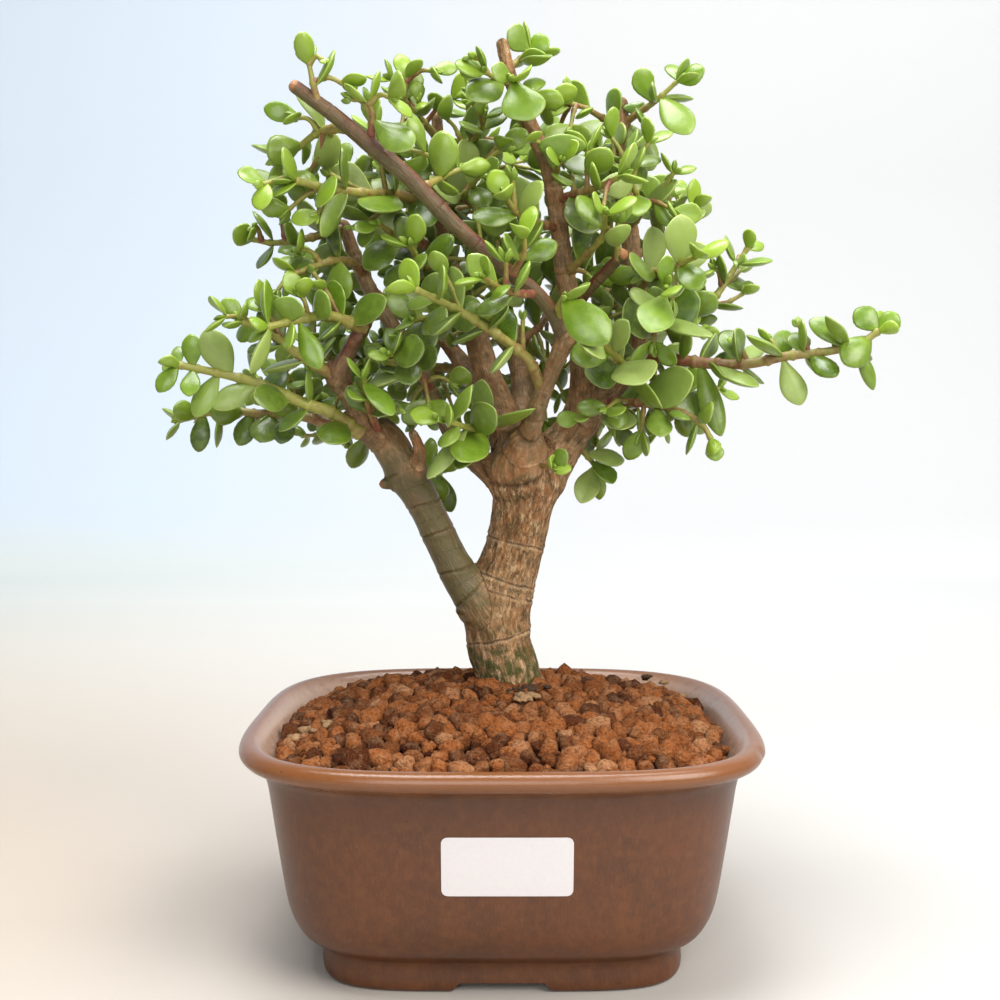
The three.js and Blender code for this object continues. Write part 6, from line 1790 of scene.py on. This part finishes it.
def stem_stations(stem, control=None):
    """A stem's middle line, closely spaced, with its radius at each point: it swells at its leaf
    pairs and flares where it leaves the wood."""
    line = smooth_line(control, SHOOT_STEM["smooth_steps"]) if control else stem["line"]
    total = line_lengths(line)[-1]
    count = max(SHOOT_STEM["fewest"], int(total / SHOOT_STEM["spacing"]))
    distances = np.linspace(0, total, count + 1)
    lengths = line_lengths(line)
    points = np.stack([np.interp(distances, lengths, line[:, k]) for k in range(3)], axis=1)
    radii = mix(stem["radius"], stem["tip_radius"], distances / total)
    pairs = np.array(pair_distances(
        total, stem["bare"] * SHOOT_STEM["bare_share"], stem["leaf"] * SHOOT_STEM["leaf_share"]) or [total])
    swelling = bell(np.abs(distances[:, None] - pairs).min(axis=1), SHOOT_STEM["node_width"])
    radii = radii * (1 + SHOOT_STEM["node_swelling"] * swelling
                     + SHOOT_STEM["base_flare"] * bell(distances, stem["radius"]))
    return points, radii, distances / total


def tip_buds(stem, random):
    """The pair of small new leaves at a stem's tip."""
    direction = unit(stem["line"][-1] - stem["line"][-2])
    buds = []
    for opposite in (0, math.pi):
        outward = radial(direction, stem["turn"] + math.pi / 4 + opposite)
        tipward = unit(direction + outward * TIP_BUD["spread"])
        face = squared_to(-outward, tipward)
        length = stem["leaf"] * TIP_BUD["length_share"] * random.uniform(*TIP_BUD["length"])
        root = stem["line"][-1] - direction * TIP_BUD["sunk"]
        buds.append(leaf_place(root, tipward, face, length, length * TIP_BUD["width_share"], 0))
    return buds


def leaf_shades(leaves):
    """How deep in the shade of the others each leaf is, in shares of one."""
    middles = np.array([leaf["root"] + leaf["tipward"] * leaf["length"] / 2 for leaf in leaves])
    apart = middles[None] - middles[:, None]
    squares = (apart ** 2).sum(axis=2)
    counts = []
    for way in SHADE["ways"]:
        reach = apart @ unit(np.array(way))
        off = squares - reach ** 2
        shading = (reach > SHADE["near"]) & (reach < SHADE["far"]) & (off < SHADE["width"] ** 2)
        counts.append(np.clip(shading.sum(axis=1) / SHADE["full"], 0, 1))
    return (counts[0] + np.min(counts, axis=0)) / 2


def leaf_row(leaf, random):
    """What the tree reads for one leaf."""
    axes = np.stack([-leaf["across"], leaf["tipward"], leaf["face"]], axis=1)
    slim, longer = random.uniform(*LEAF_SLIM["share"]), LEAF_SLIM["longer"]
    if leaf["length"] > LEAF_SLIM["up_to"]:
        slim = longer = 1.0
    sizes = leaf["width"] * slim, leaf["length"] * longer, leaf["thickness"] * LEAF_SLIM["plumper"]
    shape = random.integers(len(LEAF_FORMS))
    shape += len(LEAF_FORMS) * (leaf["length"] >= FINE_LEAF_LENGTH)
    age = max(LEAF_SKIN["young_at_tip"] - leaf["pair"] * LEAF_SKIN["ages"], 0)
    young = age * random.uniform(*LEAF_SKIN["young"])
    # Some large leaves get a bloom, partly a painted sheen.
    has_bloom = leaf["length"] > LEAF_SKIN["bloom_from"] and random.random() < LEAF_SKIN["bloom_chance"]
    bloom = random.uniform(*LEAF_SKIN["bloom" if has_bloom else "faint_bloom"])
    # A leaf's painted shade darkens its tint and dims its young colour.
    lit = 1 - leaf.get("shade", LEAF_SKIN["bud_shade"])
    return {
        "leaf_size": np.array(sizes) * MM, "leaf_turn": np.array(Matrix(axes.tolist()).to_quaternion()),
        "leaf_shape": shape, "leaf_tint": lit * random.uniform(*LEAF_SKIN["tint"]),
        "leaf_young": young * mix(LEAF_SKIN["young_in_shade"], 1, lit), "leaf_bloom": bloom,
    }


class BONSAI_OT_shoots(bpy.types.Operator):
    """Grows every leafy shoot: its stem and twigs, and its leaves in crossed pairs"""
    bl_idname = "bonsai.shoots"
    bl_label = "Leafy Shoots"

    def execute(self, context):
        colors = context.scene.bonsai
        shapes = shape_collection("leaf_shapes", [
            leaf_form(f"leaf_{step * len(LEAF_FORMS) + i:02d}", *LEAF_MESH[kind], form)
            for step, kind in enumerate(LEAF_MESH) for i, form in enumerate(LEAF_FORMS)])
        tree = shoot_tree()
        stem_skin, leaf_skin = jade_stem(colors), jade_leaf(colors)
        plans = plan_plant()
        leaves = [leaf for plan in plans for leaf in plan["leaves"]]
        for leaf, shade in zip(leaves, leaf_shades(leaves)):
            leaf["shade"] = shade
        for index, plan in enumerate(plans):
            shoot = self.shoot_lines(plan, np.random.default_rng(SHOOT_SEED + index))
            run_tree(shoot, tree, shapes=shapes, leaf_scale=colors.leaf_scale, stem_skin=stem_skin,
                     leaf_skin=leaf_skin)
            finished(shoot, "leaf", "shoot_" + plan["name"])
        drop_collection(shapes)
        return {"FINISHED"}

    def shoot_lines(self, plan, random):
        """One shoot as a mesh: lines for its stems and a loose point for each leaf."""
        points, edges, radii, redness = [], [], [], []
        stems = [plan["stem"], *plan["twigs"]]
        for stem in stems:
            line, thick, share = stem_stations(stem, plan["points"] if stem is plan["stem"] else None)
            edges += [(len(points) + i, len(points) + i + 1) for i in range(len(line) - 1)]
            points += list(line)
            radii += list(thick * MM)
            redness += list(np.clip(
                random.uniform(*SHOOT_STEM["red"]) - share * SHOOT_STEM["greener_tip"], 0, 1))
        leaves = plan["leaves"] + [bud for stem in stems for bud in tip_buds(stem, random)]
        rows = [leaf_row(leaf, random) for leaf in leaves]
        stem_count = len(points)
        points += [leaf["root"] for leaf in leaves]
        shoot = new_object(plan["name"] + "_shoot", placed(points), [], edges=edges)
        for name, kind in LEAF_FIELDS.items():
            blank = {"QUATERNION": (1, 0, 0, 0), "FLOAT_VECTOR": (0, 0, 0)}.get(kind, 0)
            set_attribute(shoot.data, name, [blank] * stem_count + [row[name] for row in rows], kind)
        for name, values in (("stem_radius", radii), ("stem_red", redness)):
            set_attribute(shoot.data, name, values + [0.0] * len(leaves))
        set_attribute(shoot.data, "is_leaf", [False] * stem_count + [True] * len(leaves), "BOOLEAN")
        return shoot


# Stage

LIGHTS = [
    {"name": "key_softbox", "place": (0.6, -0.6, 0.75), "size": 0.75, "power": 13.5, "color": "#fffaf2",
     "aim": (0, 0, 0.12)},
    {"name": "top_softbox", "place": (-0.15, -0.1, 1.05), "size": 0.6, "power": 12.5, "color": "#ffffff",
     "aim": (0, 0, 0.14)},
    {"name": "front_softbox", "place": (-0.15, -1.2, 0.55), "size": 0.7, "power": 7, "color": "#ffffff",
     "aim": (0, 0, 0.08)},
    {"name": "backdrop_wash", "place": (0.3, 0.25, 1.5), "size": 0.9, "power": 16.5, "color": "#ffffff",
     "aim": (0.2, 1.4, 0.5)},
]
WORLD = {"color": "#f2f7fa", "strength": 0.16}
# The studio is a round bowl of paper, so the model has a pale ground from all sides.
BOWL = {"middle": (0, -0.9), "flat": 1.8, "bend": 0.5, "height": 1.9, "steps": 24, "sides": 96}


def studio_paper():
    """Seamless matt background paper, cream low on the left, faintly blue above it and white to the
    right. The white to the right, where the key lamp falls, and the paler far floor, which the
    lamps reach least, are painted light. No gloss."""
    material, tree, shader, seen = start_material("seamless_paper", noises=[("grain", "place", 2.0, 3)])
    x, y, z = add_node(tree, "ShaderNodeSeparateXYZ", {0: seen["place"]}).outputs
    # Up the paper: back over the floor and then up the wall.
    up = add_node(tree, "ShaderNodeMath", {0: z, 1: 2.0, 2: y}, operation="MULTIPLY_ADD").outputs[0]
    right = add_node(tree, "ShaderNodeMath", {0: y, 1: 0.05, 2: x}, operation="MULTIPLY_ADD").outputs[0]
    # The far end of the floor, which the lamps reach least, is painted palest: painted light.
    white = layered(tree, linear("#b6b6b5"), [
        (up, 0.3, 0.9, 1.0, linear("#d6d7d7")), (up, 0.9, 1.15, 1.0, linear("#d0d1d2"))])
    color = layered(tree, linear("#cad5e1"), [
        (up, 1.2, 0.95, 1.0, linear("#cfd5d3")), (up, 0.9, 0.65, 1.0, linear("#c8cac7")),
        (up, 0.7, 0.05, 1.0, linear("#aa9a89")),
        # The paper is painted white to the right, where the key lamp falls: painted light.
        (right, -0.36, 0.2, 1.0, white), (y, 0.0, -0.5, 1.0, linear("#cfcfcd"))])
    finish_material(tree, shader, color, seen["grain"], 0.02, {"Roughness": 1.0, "Specular IOR Level": 0.0})
    return material


class BONSAI_OT_stage(bpy.types.Operator):
    """Sets up the pale floor and backdrop, the soft studio lights and the camera"""
    bl_idname = "bonsai.stage"
    bl_label = "Studio and Camera"

    def execute(self, context):
        scene = context.scene
        flat, bend = BOWL["flat"], BOWL["bend"]
        profile = [(flat + bend * math.sin(turn), bend * (1 - math.cos(turn)))
                   for turn in np.linspace(0, math.pi / 2, BOWL["steps"])]
        profile.append((flat + bend, BOWL["height"]))
        x, y = BOWL["middle"]
        points = [(x + out * math.cos(turn), y + out * math.sin(turn), z) for out, z in profile
                  for turn in round_turns(BOWL["sides"])]
        faces = [tuple(reversed(face)) for face in ring_faces(len(profile), BOWL["sides"])]
        faces.append(tuple(range(BOWL["sides"])))
        floor = new_object("studio_floor", points, faces, studio_paper())
        floor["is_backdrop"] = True
        for light in LIGHTS:
            lamp = bpy.data.lights.new(light["name"], "AREA")
            lamp.shape = "DISK"
            lamp.size = light["size"]
            lamp.energy = light["power"] * scene.bonsai.light_strength
            lamp.color = linear(light["color"])[:3]
            made = in_scene(light["name"], lamp)
            made.location = light["place"]
            towards = Vector(light["aim"]) - made.location
            made.rotation_euler = towards.to_track_quat("-Z", "Y").to_euler()
        world = bpy.data.worlds.new("pale_studio")
        world.use_nodes = True
        sky = world.node_tree.nodes["Background"]
        sky.inputs["Color"].default_value = linear(WORLD["color"])
        sky.inputs["Strength"].default_value = WORLD["strength"]
        scene.world = world
        scene.view_settings.view_transform = "Standard"
        camera_data = bpy.data.cameras.new("photo_camera")
        camera_data.lens = CAMERA["lens"]
        camera_data.sensor_width = CAMERA["sensor"]
        camera = in_scene("photo_camera", camera_data)
        camera.location = Vector(CAMERA["place"]) * MM + Vector(POT_MIDDLE)
        camera.rotation_euler = (math.radians(CAMERA["pitch"]), 0, 0)
        scene.camera = camera
        return {"FINISHED"}


# Add-on

# What each colour is for, and its value.
COLORS = {
    "glaze": ("Main brown of the pot's glaze", "#573017"),
    # Also the painted shade in the band under the lip.
    "glaze_dark": ("Where the glaze lies thick", "#432715"),
    "glaze_warm": ("Streaks where the glaze breaks", "#70431f"),
    # A painted reflection on the inside wall, and the colour of the pale specks.
    "glaze_inside": ("Thin dry glaze inside the pot", "#ac907f"),
    "glaze_lip": ("Thin glaze on the lip", "#74492c"),
    "clay": ("Most of the granules", "#a15f31"),
    # Also the painted shade of the bed between the granules.
    "clay_dark": ("Darker granules and their pits", "#431c09"),
    "clay_light": ("Dusty places on the granules", "#d0a47b"),
    "bark": ("Main brown of the bark", "#94714b"),
    "bark_warm": ("Orange-brown patches of the bark", "#8e5d34"),
    # Also the painted highlight on the rings' lips.
    "bark_pale": ("Lifted flakes and fibres", "#dcbb92"),
    # Also the painted shade in the rings' grooves, the knuckle's crease and the knot's hollow.
    "bark_dark": ("Cracks and rings", "#3f2c1b"),
    "bark_olive": ("Brown-green patches", "#5e5430"),
    "bark_green": ("Young smooth bark", "#534a2a"),
    "bark_red": ("Bark that the sun has reddened", "#502417"),
    "bark_pink": ("New bark near the soil", "#c39d7c"),
    "moss": ("Moss at the trunk's foot", "#434a1e"),
    "leaf": ("Main green of the leaves", "#587912"),
    # Also the painted shade of leaves under others.
    "leaf_deep": ("The darkest leaves", "#1a3005"),
    "leaf_light": ("Light mottling of the leaves", "#7d9c2d"),
    "leaf_young": ("New leaves at the tips", "#8fab32"),
    "leaf_under": ("The leaves' undersides", "#79922b"),
    "leaf_margin": ("The thin pale edge of each leaf", "#c3cf78"),
    # Partly a painted sheen.
    "leaf_bloom": ("Waxy bloom on large leaves", "#93a45a"),
    "stem_green": ("Young stems", "#8a8a3c"),
    "stem_red": ("Older stems", "#7a4034"),
}


class BonsaiSettings(bpy.types.PropertyGroup):
    """Sizes and colours of the bonsai"""
    granule_scale: bpy.props.FloatProperty(
        name="Granule Scale", description="Size of the clay granules",
        default=1.0, min=0.7, max=1.5, subtype="FACTOR")
    leaf_scale: bpy.props.FloatProperty(
        name="Leaf Scale", description="Size of the leaves",
        default=1.0, min=0.7, max=1.2, subtype="FACTOR")
    light_strength: bpy.props.FloatProperty(
        name="Light Strength", description="Power of the studio lights",
        default=1.0, min=0.1, max=5, subtype="FACTOR")


for color_name, (purpose, hex_color) in COLORS.items():
    BonsaiSettings.__annotations__[color_name] = bpy.props.FloatVectorProperty(
        name=color_name.replace("_", " ").title(), description=purpose, subtype="COLOR",
        size=4, min=0, max=1, default=linear(hex_color))

OPERATORS = (BONSAI_OT_pot, BONSAI_OT_label, BONSAI_OT_soil, BONSAI_OT_litter, BONSAI_OT_wood,
             BONSAI_OT_shoots, BONSAI_OT_stage)


class BONSAI_PT_panel(bpy.types.Panel):
    """Lists the bonsai's settings and its pieces"""
    bl_idname = "BONSAI_PT_panel"
    bl_label = "Dwarf Jade Bonsai"
    bl_space_type = "VIEW_3D"
    bl_region_type = "UI"
    bl_category = "Bonsai"

    def draw(self, context):
        for name in BonsaiSettings.__annotations__:
            self.layout.prop(context.scene.bonsai, name)
        for operator in OPERATORS:
            self.layout.operator(operator.bl_idname)


CLASSES = (BonsaiSettings, *OPERATORS, BONSAI_PT_panel)


def register():
    for item in CLASSES:
        bpy.utils.register_class(item)
    bpy.types.Scene.bonsai = bpy.props.PointerProperty(type=BonsaiSettings)


def unregister():
    del bpy.types.Scene.bonsai
    for item in reversed(CLASSES):
        bpy.utils.unregister_class(item)


def corners(bounds):
    return [[float(value) for value in corner] for corner in bounds]


def main():
    solids_box = corners(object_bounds())
    register()
    for operator in OPERATORS:
        group, name = operator.bl_idname.split(".")
        getattr(getattr(bpy.ops, group), name)()
    {"solids": solids_box, "scene": corners(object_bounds())}


if __name__ == "__main__":
    main()
